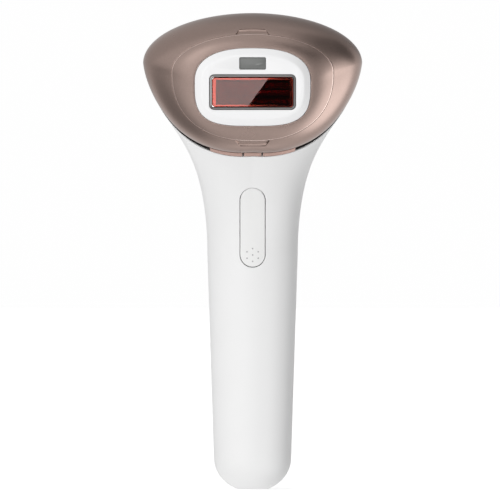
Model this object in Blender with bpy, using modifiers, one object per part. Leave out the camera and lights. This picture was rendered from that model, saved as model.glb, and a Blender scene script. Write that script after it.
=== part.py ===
"""A handheld light-pulse hair remover, modelled as an assembly.

The handle stands along +Z and the treatment window faces -Y. X = 0 is the symmetry plane.
Lengths are written in millimetres times MM. Every y in this file is measured from the handle's
axis: the empty "device" carries the whole assembly and puts the origin at the bottom centre of
its bounding box.
"""

import math

import bmesh
import bpy
from mathutils import Matrix, Vector

MM = 0.001

# ---------------------------------------------------------------- general sizes
CLEAR = 0.3 * MM  # gap between pieces that meet
AROUND = 40  # points around a body or head section
SIDES = 20  # sides of a small round piece

# ---------------------------------------------------------------- body
WALL = 2.2 * MM
NECK_Z = 100.0 * MM  # where the straight handle ends and the neck begins
END_HEIGHT = 13.0 * MM  # height of the rounded lower end
END_FLAT = 6.5 * MM  # half width of the flat at the very bottom
HANDLE_END_WIDTH = 32.6 * MM
HANDLE_WIDTH = 38.2 * MM  # at the neck
HANDLE_END_DEPTH = 30.4 * MM
HANDLE_DEPTH = 33.0 * MM
SECTION_POWER = 2.15  # how square a handle section is
NECK_STEPS = 11
FLARE = 0.65  # how early the neck widens

# ---------------------------------------------------------------- head
HEAD_TOP = 200.6 * MM
HEAD_LOW = 141.9 * MM
HEAD_WIDTH = 92.0 * MM
HEAD_WIDEST = 0.64  # height of the widest point, as a share of the head's height
SHIELD = 0.024  # how much the lower sides of the head are drawn straight
SKIN_REACH = 50.0 * MM  # from the handle's axis to the skin-contact face
RING_REACH_LOW = 37.4 * MM  # from the handle's axis to the ring's rear edge, at its lowest point
RING_REACH_TOP = 25.6 * MM
RING_WALL = 2.0 * MM
VENT_GAP = 3.3 * MM  # between the ring's rear edge and the body, at the lowest point
VENT_GAP_TOP = 2.6 * MM
VENT_DROP = 1.7 * MM  # how far the body's edge stands out below the ring's
VENT_INSET = 0.8 * MM  # how far the body's edge lies inside the ring's at its sides
GROOVE = 3.2 * MM  # depth of the vent groove
COLLAR_WALL = 1.2 * MM
TRIM_WALL = 0.8 * MM
TRIM_HALF = 19.0 * MM  # half length of the copper-coloured trim
TRIM_SLIT_X = 4.0 * MM
TRIM_SLIT = 0.6 * MM
NOTCH_BASE = 13.7 * MM  # width of a fingernail notch at the seam
NOTCH_TIP = 10.5 * MM
NOTCH_HEIGHT = 2.0 * MM
NOTCH_DEPTH = 1.1 * MM

# ---------------------------------------------------------------- attachment
FRAME_WIDTH = 48.4 * MM
FRAME_TOP = 185.4 * MM
FRAME_LOW = 152.9 * MM
FRAME_WIDEST = 0.56
FRAME_PROUD = 3.5 * MM  # how far the frame stands out of the skirt
FRAME_WALL = 1.6 * MM
FRAME_ROUND = 1.6 * MM
FRAME_TRAVEL = 1.0 * MM
FLANGE = 1.6 * MM  # how far the frame's retaining flange stands out
FLANGE_THICK = 1.4 * MM
SEAM_WIDTH = FRAME_WIDTH + 19.4 * MM
SEAM_TOP = 191.4 * MM
SEAM_LOW = 146.6 * MM
SEAM_WIDEST = 0.645
SKIRT_WALL = 1.8 * MM
SLEEVE = 4.3 * MM  # depth of the ring's wall around the attachment
WINDOW_Z = 167.0 * MM
GLASS_WIDTH = 33.7 * MM
GLASS_HEIGHT = 12.3 * MM
GLASS_THICK = 2.7 * MM
GLASS_BEVEL = 0.3 * MM
SEAL_WALL = 0.9 * MM
SEAL_RECESS = 0.7 * MM  # from the skin-contact face to the seal
SENSOR_Z = 179.0 * MM
SENSOR_WIDTH = 10.9 * MM
SENSOR_HEIGHT = 4.9 * MM
DUCT_WALL = 1.1 * MM
FRAME_SWITCH = 1.1 * MM  # thickness of the two switches that the frame presses
BASE_REACH = 38.6 * MM  # front of the attachment's base plate
BASE_THICK = 1.4 * MM
BULKHEAD_FRONT = 35.0 * MM  # front of the wall behind the attachment
BULKHEAD_THICK = 1.5 * MM
CONTACT_Z = 152.6 * MM
CONTACT_HALF = (7.0 * MM, 1.9 * MM)
CONTACT_PITCH = 4.2 * MM

# ---------------------------------------------------------------- flash button
BUTTON_WIDTH = 10.5 * MM
BUTTON_LOW = 93.9 * MM
BUTTON_TOP = 126.9 * MM
BUTTON_DOT_Z = 98.9 * MM
HINGE_Z = 123.8 * MM
HINGE_REACH = 15.4 * MM
AXLE_RADIUS = 1.0 * MM
SPRING_Z = 109.0 * MM
LUG_HALF = 2.8 * MM
TACT_HEIGHT = 2.6 * MM
PLUNGER_OUT = 1.3 * MM
POST_RADIUS = 1.8 * MM

# ---------------------------------------------------------------- rear controls
POWER_Z = 129.0 * MM
INTENSITY_Z = 142.0 * MM
GUIDE_THICK = 3.8 * MM - WALL  # the light guide fills what the wall leaves behind the rear board
REAR_BUTTON_RADIUS = 5.2 * MM
PIP_Z = 151.5 * MM
PIP_PITCH = 3.6 * MM
PIP_RADIUS = 0.8 * MM
PIP_COUNT = 5
SLOT_LOW = 159.0 * MM
SLOT_PITCH = 3.4 * MM
SLOT_COUNT = 6
SLOT_HEIGHT = 1.3 * MM
SLOT_WIDTH = 26.0 * MM
REAR_BOARD_Y = 5.4 * MM
REAR_TACT_HEIGHT = 2.2 * MM

# ---------------------------------------------------------------- insides
CHASSIS_BACK = 5.4 * MM  # the chassis plate's rear face, ahead of the handle's axis
CHASSIS_THICK = 1.2 * MM
BOARD_THICK = 1.2 * MM
CELL_RADIUS = 8.8 * MM
CELL_LENGTH = 50.0 * MM
CELL_LOW = 22.0 * MM
CAPACITOR_RADIUS = 9.2 * MM
CAPACITOR_LENGTH = 34.0 * MM
CAPACITOR_LOW = 82.0 * MM
SCREW_RADIUS = 0.9 * MM
SCREW_HEAD = 1.9 * MM
BOSS_RADIUS = 2.4 * MM
LAMP_RADIUS = 2.2 * MM
LAMP_LENGTH = 44.0 * MM
CARRIER_FRONT = 32.9 * MM
CARRIER_DEPTH = 21.0 * MM
CARRIER_WIDTH = 42.0 * MM
CARRIER_HEIGHT = 24.0 * MM
FAN_SIZE = 30.0 * MM
FAN_DEPTH = 8.0 * MM
FAN_Z = 164.0 * MM
FAN_BLADES = 7
SOCKET_RADIUS = 4.8 * MM
SOCKET_BORE = 2.75 * MM
SOCKET_DEPTH = 11.0 * MM
TROUGH_DEPTH = 16.0 * MM
TROUGH_MOUTH = 6.2 * MM  # half height of the reflector's mouth
TROUGH_BACK = 4.6 * MM  # inner radius of the round back of the reflector
TROUGH_WALL = 0.6 * MM

# ---------------------------------------------------------------- what follows from those
FAR = 300 * MM  # longer than the object, for cutters
SPLIT = CLEAR / 2  # half the gap between the two shells
SEAM_GAP = CLEAR / 2
SKIRT_REACH = SKIN_REACH - FRAME_PROUD
BOARD_FRONT = CHASSIS_BACK + CHASSIS_THICK + CLEAR + BOARD_THICK
TACT_FRONT = BOARD_FRONT + CLEAR + TACT_HEIGHT
REAR_TACT_TOP = REAR_BOARD_Y + BOARD_THICK + CLEAR + REAR_TACT_HEIGHT
FAN_FRONT = CARRIER_FRONT - CARRIER_DEPTH - 2 * CLEAR
SCREW_PLACES = (
    (0.0, CELL_LOW - BOSS_RADIUS - 2.1 * MM),
    (0.0, (CELL_LOW + CELL_LENGTH + CAPACITOR_LOW) / 2),
    (-11.0 * MM, CAPACITOR_LOW + CAPACITOR_LENGTH + 5.0 * MM),
    (11.0 * MM, CAPACITOR_LOW + CAPACITOR_LENGTH + 5.0 * MM),
)

HANDLE_Y = (SKIN_REACH - HANDLE_DEPTH / 2) / 2  # centres the bounding box on the origin in y


# ================================================================ scene and materials
def clear_scene():
    for old in list(bpy.data.objects):
        bpy.data.objects.remove(old)


def new_collection(name):
    made = bpy.data.collections.new(name)
    bpy.context.scene.collection.children.link(made)
    return made


def finish_of(name, colour, roughness, metallic=0.0):
    made = bpy.data.materials.new(name)
    made.use_nodes = True
    shader = made.node_tree.nodes["Principled BSDF"]
    shader.inputs["Base Color"].default_value = (*colour, 1.0)
    shader.inputs["Roughness"].default_value = roughness
    shader.inputs["Metallic"].default_value = metallic
    return made


clear_scene()
PARTS = new_collection("hair_remover")
CUTTERS = new_collection("cutters")

WHITE = finish_of("white_gloss", (0.86, 0.86, 0.85), 0.25)
BRONZE = finish_of("bronze_satin", (0.36, 0.26, 0.22), 0.35, 0.6)
COPPER = finish_of("copper_trim", (0.72, 0.45, 0.37), 0.25, 0.8)
BLACK = finish_of("black_plastic", (0.03, 0.03, 0.03), 0.5)
SEAL_GREY = finish_of("seal_grey", (0.35, 0.34, 0.33), 0.4, 0.5)
RED_GLASS = finish_of("red_filter_glass", (0.45, 0.03, 0.02), 0.05)
CLEAR_GLASS = finish_of("quartz_glass", (0.8, 0.85, 0.9), 0.05)
SENSOR_GREY = finish_of("sensor_lens_grey", (0.33, 0.36, 0.33), 0.2)
STEEL = finish_of("steel", (0.6, 0.6, 0.6), 0.3, 1.0)
MIRROR = finish_of("reflector_aluminium", (0.85, 0.85, 0.86), 0.1, 1.0)
GOLD = finish_of("gold_contact", (0.9, 0.7, 0.3), 0.25, 1.0)
BOARD_GREEN = finish_of("circuit_board", (0.02, 0.2, 0.08), 0.5)
CAN_BLACK = finish_of("capacitor_sleeve", (0.05, 0.05, 0.12), 0.35)
CELL_BLUE = finish_of("cell_sleeve", (0.05, 0.2, 0.4), 0.35)
FERRITE = finish_of("ferrite", (0.12, 0.12, 0.13), 0.6)


# ================================================================ bodies that move
def empty(name, parent=None, at=(0, 0, 0)):
    """An empty at a point measured from the handle's axis."""
    made = bpy.data.objects.new(name, None)
    PARTS.objects.link(made)
    made.location = Vector(at) - (Vector(parent["at"]) if parent else Vector())
    made.parent = parent
    made["at"] = tuple(at)
    return made


DEVICE = empty("device")
DEVICE.location = (0, HANDLE_Y, 0)
ATTACHMENT = empty("attachment_slide", DEVICE, (0, -BASE_REACH, WINDOW_Z))
FRAME = empty("frame_slide", ATTACHMENT, (0, -SKIN_REACH, WINDOW_Z))
TRIGGER = empty("trigger_hinge", DEVICE, (0, -HINGE_REACH, HINGE_Z))
PLUNGER = empty("plunger_slide", DEVICE, (0, -HINGE_REACH, BUTTON_DOT_Z))
POWER = empty("power_slide", DEVICE, (0, 0, POWER_Z))
INTENSITY = empty("intensity_slide", DEVICE, (0, 0, INTENSITY_Z))
FAN = empty("fan_spindle", DEVICE, (0, -FAN_FRONT + FAN_DEPTH / 2, FAN_Z))


def add(piece, finish, body=DEVICE, smooth=True):
    """Names a piece as part of the assembly: its finish, and the empty that it moves with."""
    for owner in list(piece.users_collection):
        owner.objects.unlink(piece)
    PARTS.objects.link(piece)
    piece.location = piece.location - Vector(body["at"])
    piece.parent = body
    piece.data.materials.clear()
    piece.data.materials.append(finish)
    if smooth and piece.type == "MESH":
        piece.data.shade_smooth()
        piece.data.set_sharp_from_angle(angle=math.radians(35))
    return piece


def as_tool(piece):
    """Makes a piece a hidden helper for Booleans."""
    for owner in list(piece.users_collection):
        owner.objects.unlink(piece)
    CUTTERS.objects.link(piece)
    piece.parent = DEVICE
    piece.hide_render = True
    piece.display_type = "WIRE"
    return piece


def boolean(piece, tool, operation="DIFFERENCE"):
    modifier = piece.modifiers.new(operation.lower(), "BOOLEAN")
    modifier.operation = operation
    modifier.solver = "EXACT"
    modifier.object = tool
    return piece


# ================================================================ shape makers
def object_from(name, work):
    mesh = bpy.data.meshes.new(name)
    work.to_mesh(mesh)
    work.free()
    made = bpy.data.objects.new(name, mesh)
    bpy.context.scene.collection.objects.link(made)
    return made


def box(name, low, high, bevel=0.0):
    """A box between two corners, its edges rounded if bevel is given."""
    low = Vector(low)
    high = Vector(high)
    work = bmesh.new()
    bmesh.ops.create_cube(work, size=1.0)
    bmesh.ops.scale(work, vec=high - low, verts=work.verts)
    made = object_from(name, work)
    made.location = (low + high) / 2
    if bevel:
        rounded = made.modifiers.new("rounded", "BEVEL")
        rounded.width = bevel
        rounded.segments = 2
    return made


def rod(name, radius, start, end, sides=SIDES, end_radius=None):
    """A cylinder, or a cone, from one point to another."""
    start = Vector(start)
    end = Vector(end)
    work = bmesh.new()
    bmesh.ops.create_cone(
        work,
        cap_ends=True,
        segments=sides,
        radius1=radius,
        radius2=radius if end_radius is None else end_radius,
        depth=(end - start).length,
    )
    turn = (end - start).to_track_quat("Z", "Y").to_matrix().to_4x4()
    bmesh.ops.transform(work, matrix=turn, verts=work.verts)
    made = object_from(name, work)
    made.location = (start + end) / 2
    return made


def turned(name, profile, at, towards, steps=24):
    """A turned solid. The profile holds (radius, height), from the axis at the top down to the axis."""
    work = bmesh.new()
    points = [work.verts.new((radius, 0, height)) for radius, height in profile]
    for first, second in zip(points, points[1:]):
        work.edges.new((first, second))
    made = object_from(name, work)
    spin = made.modifiers.new("spin", "SCREW")
    spin.steps = steps
    spin.render_steps = steps
    spin.use_merge_vertices = True
    spin.merge_threshold = 0.00001
    made.rotation_euler = Vector(towards).to_track_quat("Z", "Y").to_euler()
    made.location = at
    return made


def plate(name, outlines, reach, depth):
    """A flat plate from (x, z) outlines, the second and later ones being holes. reach is its front face."""
    curve = bpy.data.curves.new(name, "CURVE")
    curve.dimensions = "2D"
    curve.fill_mode = "BOTH"
    curve.extrude = depth / 2
    for outline in outlines:
        spline = curve.splines.new("POLY")
        spline.points.add(len(outline) - 1)
        for point, (x, z) in zip(spline.points, outline):
            point.co = (x, z, 0, 1)
        spline.use_cyclic_u = True
    flat = bpy.data.objects.new(name + "_curve", curve)
    bpy.context.scene.collection.objects.link(flat)
    flat.rotation_euler = (math.pi / 2, 0, 0)
    flat.location = (0, -reach + depth / 2, 0)
    return as_mesh(flat, name)


def as_mesh(curve_object, name):
    """The mesh of a curve object, its caps welded on, in the curve object's place."""
    bpy.context.view_layer.update()
    graph = bpy.context.evaluated_depsgraph_get()
    mesh = bpy.data.meshes.new_from_object(curve_object.evaluated_get(graph))
    work = bmesh.new()
    work.from_mesh(mesh)
    bmesh.ops.remove_doubles(work, verts=work.verts, dist=0.000001)
    work.transform(Matrix.Rotation(curve_object.rotation_euler.x, 4, "X"))
    bmesh.ops.recalc_face_normals(work, faces=work.faces)
    work.to_mesh(mesh)
    work.free()
    made = bpy.data.objects.new(name, mesh)
    bpy.context.scene.collection.objects.link(made)
    made.location = curve_object.location
    bpy.data.objects.remove(curve_object)
    return made


def loft(name, rings, cap_first=False, cap_last=False, wall=0.0):
    """A skin over rings of points. Rings run up the handle, or from the back of the head forwards."""
    work = bmesh.new()
    grid = [[work.verts.new(point) for point in ring] for ring in rings]
    for lower, upper in zip(grid, grid[1:]):
        for i in range(len(lower)):
            after = (i + 1) % len(lower)
            work.faces.new((lower[i], lower[after], upper[after], upper[i]))
    if cap_first:
        work.faces.new(list(reversed(grid[0])))
    if cap_last:
        work.faces.new(grid[-1])
    made = object_from(name, work)
    if wall:
        shell = made.modifiers.new("wall", "SOLIDIFY")
        shell.thickness = wall
        shell.offset = -1
        shell.use_even_offset = True
    return made


def coil(name, radius, wire, low, high, turns, at):
    """A coil spring along y between two reaches, around the point at = (x, z)."""
    per_turn = 10
    curve = bpy.data.curves.new(name, "CURVE")
    curve.dimensions = "3D"
    curve.bevel_depth = wire
    curve.bevel_resolution = 1
    curve.use_fill_caps = True
    spline = curve.splines.new("POLY")
    count = int(turns * per_turn) + 1
    spline.points.add(count - 1)
    for i in range(count):
        angle = 2 * math.pi * i / per_turn
        share = i / (count - 1)
        y = -high + wire + (high - low - 2 * wire) * share
        place = (at[0] + radius * math.cos(angle), y, at[1] + radius * math.sin(angle), 1)
        spline.points[i].co = place
    made = bpy.data.objects.new(name, curve)
    bpy.context.scene.collection.objects.link(made)
    return made


# ================================================================ outlines
def egg(half_width, low, high, widest, power_top, power_low, shield=0.0):
    """(x, z) points of a closed egg outline, from its widest point on the right and over the top."""
    points = []
    for i in range(AROUND):
        angle = 2 * math.pi * i / AROUND
        across = math.cos(angle)
        up = math.sin(angle)
        upper = up >= 0
        power = power_top if upper else power_low
        height = (1 - widest if upper else widest) * (high - low)
        drawn_in = 1.0
        if not upper:
            drawn_in = 1 - shield * math.sin(4 * math.atan2(abs(up), abs(across)))
        x = half_width * math.copysign(abs(across) ** (2 / power), across) * drawn_in
        z = low + widest * (high - low) + height * math.copysign(abs(up) ** (2 / power), up) * drawn_in
        points.append((x, z))
    return points


def frame_outline(grow=0.0):
    return egg(FRAME_WIDTH / 2 + grow, FRAME_LOW - grow, FRAME_TOP + grow, FRAME_WIDEST, 2.45, 3.4)


def seam_outline(grow=0.0):
    return egg(SEAM_WIDTH / 2 + grow, SEAM_LOW - grow, SEAM_TOP + grow, SEAM_WIDEST, 2.0, 2.3)


def head_outline(grow=0.0):
    return egg(HEAD_WIDTH / 2 + grow, HEAD_LOW - grow, HEAD_TOP + grow, HEAD_WIDEST, 2.0, 2.0, SHIELD)


def rounded_rectangle(width, height, radius, centre_z, corner=4):
    """(x, z) points of a rectangle with round corners."""
    points = []
    for quarter in range(4):
        sign_x = 1 if quarter in (0, 3) else -1
        sign_z = 1 if quarter in (0, 1) else -1
        for step in range(corner + 1):
            angle = math.pi / 2 * (quarter + step / corner)
            x = sign_x * (width / 2 - radius) + radius * math.cos(angle)
            z = centre_z + sign_z * (height / 2 - radius) + radius * math.sin(angle)
            points.append((x, z))
    return points


def circle(radius, x, z, sides=SIDES):
    turns = [2 * math.pi * i / sides for i in range(sides)]
    return [(x + radius * math.cos(turn), z + radius * math.sin(turn)) for turn in turns]


def stadium(width, low, high):
    return rounded_rectangle(width, high - low, width / 2 - 0.01 * MM, (low + high) / 2, 8)


# ================================================================ the body's skin
def section(front, back, half_width, widest=0.5, power=2.0, shield=0.0, inset=0.0):
    """Points of a section that spans from front to back, both (y, z)."""
    front = Vector(front)
    back = Vector(back)
    along = (back - front).normalized() * inset
    front += along
    back -= along
    flat = egg(half_width - inset, 0.0, 1.0, widest, power, power, shield)
    points = []
    for x, share in flat:
        y, z = front.lerp(back, share)
        points.append((x, y, z))
    return points


def bezier(points, t):
    a, b, c, d = (Vector(p) for p in points)
    return a * (1 - t) ** 3 + b * 3 * (1 - t) ** 2 * t + c * 3 * (1 - t) * t * t + d * t**3


RING_FRONT = (-RING_REACH_LOW, HEAD_LOW)
RING_BACK = (-RING_REACH_TOP, HEAD_TOP)
BODY_FRONT = (-RING_REACH_LOW + math.sqrt(VENT_GAP**2 - VENT_DROP**2), HEAD_LOW - VENT_DROP)
BODY_BACK = (-RING_REACH_TOP + VENT_GAP_TOP, HEAD_TOP - CLEAR)
FRONT_CURVE = (
    (-HANDLE_DEPTH / 2, NECK_Z),
    (-HANDLE_DEPTH / 2, NECK_Z + 18.0 * MM),
    (BODY_FRONT[0] + 9.5 * MM, BODY_FRONT[1] - 10.5 * MM),
    BODY_FRONT,
)
BACK_CURVE = (
    (HANDLE_DEPTH / 2, NECK_Z),
    (HANDLE_DEPTH / 2, NECK_Z + 64.0 * MM),
    (BODY_BACK[0] + 26.0 * MM, BODY_BACK[1]),
    BODY_BACK,
)


def neck_section(t, inset=0.0):
    """A section of the neck, from the handle at t = 0 to the head's opening at t = 1."""
    ease = 3 * (1 - t) * t * t * FLARE + t**3
    half_width = HANDLE_WIDTH / 2 + (HEAD_WIDTH / 2 - VENT_INSET - HANDLE_WIDTH / 2) * ease
    return section(
        bezier(FRONT_CURVE, t),
        bezier(BACK_CURVE, t),
        half_width,
        0.5 + (HEAD_WIDEST - 0.5) * t,
        SECTION_POWER + (2.0 - SECTION_POWER) * t,
        SHIELD * t,
        inset,
    )


def handle_section(z, scale=1.0):
    """A level section of the handle. scale shrinks it, in the rounded lower end."""
    up = max(0.0, (z - END_HEIGHT) / (NECK_Z - END_HEIGHT))
    half_width = (HANDLE_END_WIDTH + (HANDLE_WIDTH - HANDLE_END_WIDTH) * up) / 2 * scale
    half_depth = (HANDLE_END_DEPTH + (HANDLE_DEPTH - HANDLE_END_DEPTH) * up) / 2 * scale
    return section((-half_depth, z), (half_depth, z), half_width, 0.5, SECTION_POWER)


def body_rings():
    first = math.asin(END_FLAT / (HANDLE_END_WIDTH / 2))
    rings = []
    end_steps = 5
    for i in range(end_steps):
        angle = first + (math.pi / 2 - first) * i / end_steps
        z = END_HEIGHT * (math.cos(first) - math.cos(angle)) / math.cos(first)
        rings.append(handle_section(z, math.sin(angle)))
    for share in (0.0, 0.5):
        rings.append(handle_section(END_HEIGHT + (NECK_Z - END_HEIGHT) * share))
    for i in range(NECK_STEPS + 1):
        rings.append(neck_section(i / NECK_STEPS))
    return rings


def body_skin(name):
    """The hollow body, open at the head. Both shells and all flush buttons are cut from it."""
    return loft(name, body_rings(), cap_first=True, wall=WALL)


BODY_CORE = as_tool(loft("body_core", body_rings(), cap_first=True, cap_last=True))


# ================================================================ the head's crown
def ring_edge_reach(z):
    share = (z - HEAD_LOW) / (HEAD_TOP - HEAD_LOW)
    return RING_REACH_LOW + (RING_REACH_TOP - RING_REACH_LOW) * share


def crown_points():
    """For each point around: inner edge, seam and rear edge as (x, z), and the seam's share of the way."""
    found = []
    for inner, seam, outer in zip(frame_outline(1.8 * CLEAR), seam_outline(), head_outline()):
        inner = Vector(inner)
        seam = Vector(seam)
        outer = Vector(outer)
        found.append((inner, seam, outer, (seam - inner).length / (outer - inner).length))
    return found


def crown_depth(outer, share):
    """The y of the crown where share of the way from its inner to its rear edge is done."""
    rear = ring_edge_reach(outer.y)
    return -SKIRT_REACH + (SKIRT_REACH - rear) * (1 - math.sqrt(max(0.0, 1 - share * share)))


def ring_crown(t):
    """A line round the ring, from the seam at t = 0 to the rear edge at t = 1."""
    points = []
    for _, seam, outer, seam_share in crown_points():
        start = math.asin(seam_share)
        share = math.sin(start + (math.pi / 2 - start) * t)
        flat = seam.lerp(outer, (share - seam_share) / (1 - seam_share))
        points.append((flat.x, crown_depth(outer, share), flat.y))
    return points


def skirt_crown(t, gap=0.0):
    """A line round the skirt, from its inner edge at t = 0 to the seam at t = 1."""
    points = []
    for inner, seam, outer, seam_share in crown_points():
        share = math.sin(math.asin(seam_share) * t)
        flat = inner.lerp(seam, share / seam_share)
        middle = Vector((0, WINDOW_Z))
        flat -= (flat - middle).normalized() * gap * t
        points.append((flat.x, crown_depth(outer, share), flat.y))
    return points


def sleeve_line(source, reach):
    """The same line at a fixed reach, as the end of a straight wall."""
    return [(x, -reach, z) for x, _, z in source]


def seam_reach():
    return -ring_crown(0.0)[AROUND // 4][1]


def head_ring():
    seam = ring_crown(0.0)
    rings = [ring_crown(t) for t in (1.0, 0.8, 0.6, 0.4, 0.2)]
    rings.append(seam)
    rings.append(sleeve_line(seam, seam_reach() - SLEEVE))
    ring = add(loft("head_ring", rings, wall=RING_WALL), BRONZE)
    boolean(ring, as_tool(pry_notch("notch_top", SEAM_TOP, 1)))
    boolean(ring, as_tool(pry_notch("notch_low", SEAM_LOW, -1)))


def pry_notch(name, z, side):
    """The trapezoid fingernail notch in the ring, at the top or the bottom of the seam."""
    root = z - side * 1.0 * MM
    tip = z + side * NOTCH_HEIGHT
    outline = [
        (-NOTCH_BASE / 2, root),
        (NOTCH_BASE / 2, root),
        (NOTCH_BASE / 2, z),
        (NOTCH_TIP / 2, tip),
        (-NOTCH_TIP / 2, tip),
        (-NOTCH_BASE / 2, z),
    ]
    return plate(name, [outline], SKIN_REACH, SKIN_REACH - seam_reach() + NOTCH_DEPTH)


def attachment_skirt():
    seam = skirt_crown(1.0, SEAM_GAP * 2)
    rings = [sleeve_line(seam, BASE_REACH - BASE_THICK), seam]
    rings += [skirt_crown(t, SEAM_GAP * 2) for t in (0.66, 0.33, 0.0)]
    add(loft("attachment_skirt", rings, wall=SKIRT_WALL), BRONZE, ATTACHMENT)


# ================================================================ collar between ring and body
def collar_ring(share, inset):
    """A line round the vent gap: share 0 is at the ring's rear edge, 1 at the body's edge."""
    front = Vector(RING_FRONT).lerp(Vector(BODY_FRONT), share)
    back = Vector(RING_BACK).lerp(Vector(BODY_BACK), share)
    half_width = HEAD_WIDTH / 2 - VENT_INSET * share
    return section(front, back, half_width, HEAD_WIDEST, 2.0, SHIELD, inset)


def vent_collar():
    """The dark band at the bottom of the groove. It runs under the edges of the ring and the body."""
    rings = [collar_ring(1.1, GROOVE), collar_ring(-0.2, GROOVE)]
    add(loft("vent_collar", rings, wall=COLLAR_WALL), BLACK)


def collar_trim():
    """The copper-coloured strip that fills the groove at its lowest stretch, with its two slits."""
    gap = CLEAR / VENT_GAP_TOP
    rings = [collar_ring(1 - gap, 0.0), collar_ring(gap, 0.0)]
    trim = add(loft("collar_trim", rings, wall=TRIM_WALL), COPPER)
    depth = TRIM_WALL / 2
    rib = [collar_ring(0.6, depth), collar_ring(0.4, depth)]
    boolean(trim, as_tool(loft("trim_rib", rib, wall=GROOVE - 2 * CLEAR - depth)), "UNION")
    low = (-TRIM_HALF, -SKIN_REACH, HEAD_LOW - 10 * MM)
    high = (TRIM_HALF, 0, WINDOW_Z)
    boolean(trim, as_tool(box("trim_stretch", low, high)), "INTERSECT")
    for side in (-1, 1):
        x = side * TRIM_SLIT_X
        cut_top = HEAD_LOW - VENT_DROP + TRIM_SLIT
        low = (x - TRIM_SLIT / 2, -SKIN_REACH, HEAD_LOW - 10 * MM)
        high = (x + TRIM_SLIT / 2, 0, cut_top)
        boolean(trim, as_tool(box("trim_slit", low, high)))


# ================================================================ shells
def shell_half(name, side):
    """One half of the body. side is -1 for the front half and 1 for the rear half."""
    half = add(body_skin(name), WHITE)
    edge = side * SPLIT
    low_y, high_y = (edge, FAR) if side < 0 else (-FAR, edge)
    other = box(name + "_other_half", (-FAR, low_y, -FAR), (FAR, high_y, FAR))
    boolean(half, as_tool(other))
    hole = rod(name + "_socket_hole", SOCKET_RADIUS + CLEAR, (0, 0, -WALL), (0, 0, 4 * WALL), 24)
    boolean(half, as_tool(hole))
    return half


def front_shell():
    shell = shell_half("front_shell", -1)
    outline = stadium(BUTTON_WIDTH + 2 * CLEAR, BUTTON_LOW - CLEAR, BUTTON_TOP + CLEAR)
    boolean(shell, as_tool(plate("button_slot", [outline], SKIN_REACH, SKIN_REACH - 6 * MM)))


def rear_shell():
    shell = shell_half("rear_shell", 1)
    for i, (x, z) in enumerate(SCREW_PLACES):
        boss = rod(f"boss_{i}", BOSS_RADIUS, (x, CLEAR - CHASSIS_BACK, z), (x, HANDLE_DEPTH / 2, z), 16)
        boolean(boss, BODY_CORE, "INTERSECT")
        boolean(shell, as_tool(boss), "UNION")
        pilot = rod(f"pilot_{i}", SCREW_RADIUS + CLEAR, (x, -HANDLE_DEPTH, z), (x, 5 * MM, z), 12)
        boolean(shell, as_tool(pilot))
    for name, z in (("power_hole", POWER_Z), ("intensity_hole", INTENSITY_Z)):
        hole = rod(name, REAR_BUTTON_RADIUS + CLEAR, (0, 5 * MM, z), (0, HANDLE_DEPTH, z), 28)
        boolean(shell, as_tool(hole))
    for x in pip_places():
        hole = rod("pip_hole", PIP_RADIUS + CLEAR, (x, 5 * MM, PIP_Z), (x, HANDLE_DEPTH, PIP_Z), 12)
        boolean(shell, as_tool(hole))
    for i in range(SLOT_COUNT):
        z = SLOT_LOW + i * SLOT_PITCH
        half = (SLOT_WIDTH - i * 2 * MM) / 2
        slot = box("vent_slot", (-half, -2 * MM, z), (half, HANDLE_DEPTH, z + SLOT_HEIGHT))
        boolean(shell, as_tool(slot))


def pip_places():
    return [PIP_PITCH * (i - (PIP_COUNT - 1) / 2) for i in range(PIP_COUNT)]


# ================================================================ buttons
def flash_button():
    """The long button: a piece of the body's own skin, with a hinge lug, a post and seven dimples."""
    button = add(body_skin("flash_button"), WHITE, TRIGGER)
    outline = stadium(BUTTON_WIDTH, BUTTON_LOW, BUTTON_TOP)
    prism = as_tool(plate("button_prism", [outline], SKIN_REACH, SKIN_REACH - 6 * MM))
    boolean(button, prism, "INTERSECT")
    lug = box(
        "button_lug",
        (-LUG_HALF, -FAR, HINGE_Z - 2.0 * MM),
        (LUG_HALF, -HINGE_REACH + 2.2 * MM, HINGE_Z + 1.9 * MM),
    )
    boolean(lug, BODY_CORE, "INTERSECT")
    boolean(button, as_tool(lug), "UNION")
    axle_hole = rod("lug_hole", AXLE_RADIUS + CLEAR, (-FAR, -HINGE_REACH, HINGE_Z), (FAR, -HINGE_REACH, HINGE_Z))
    boolean(button, as_tool(axle_hole))
    inside = HANDLE_DEPTH / 2 - WALL + 0.5 * MM
    post_end = TACT_FRONT + PLUNGER_OUT + CLEAR
    post = rod("button_post", POST_RADIUS, (0, -inside, BUTTON_DOT_Z), (0, -post_end, BUTTON_DOT_Z), 16)
    boolean(button, as_tool(post), "UNION")


def button_bracket():
    """Two ears on a small base that hold the button's axle."""
    base_front = BOARD_FRONT + 0.6 * MM
    base_back = CHASSIS_BACK + CHASSIS_THICK + CLEAR
    ear_out = LUG_HALF + CLEAR
    ear_thick = 1.4 * MM
    low_z = HINGE_Z - 3.0 * MM
    high_z = HINGE_Z + 2.6 * MM
    half = ear_out + ear_thick
    bracket = add(box("button_bracket", (-half, -base_front, low_z), (half, -base_back, high_z)), STEEL, smooth=False)
    for side in (-1, 1):
        near = side * ear_out
        far = side * half
        low = (min(near, far), -HINGE_REACH - 1.9 * MM, low_z)
        high = (max(near, far), -base_back - 0.3 * MM, high_z)
        boolean(bracket, as_tool(box("bracket_ear", low, high)), "UNION")
    hole = rod("bracket_hole", AXLE_RADIUS + CLEAR, (-FAR, -HINGE_REACH, HINGE_Z), (FAR, -HINGE_REACH, HINGE_Z))
    boolean(bracket, as_tool(hole))
    reach = half + 0.6 * MM
    axle = rod("button_axle", AXLE_RADIUS, (-reach, -HINGE_REACH, HINGE_Z), (reach, -HINGE_REACH, HINGE_Z))
    add(axle, STEEL)


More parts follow.
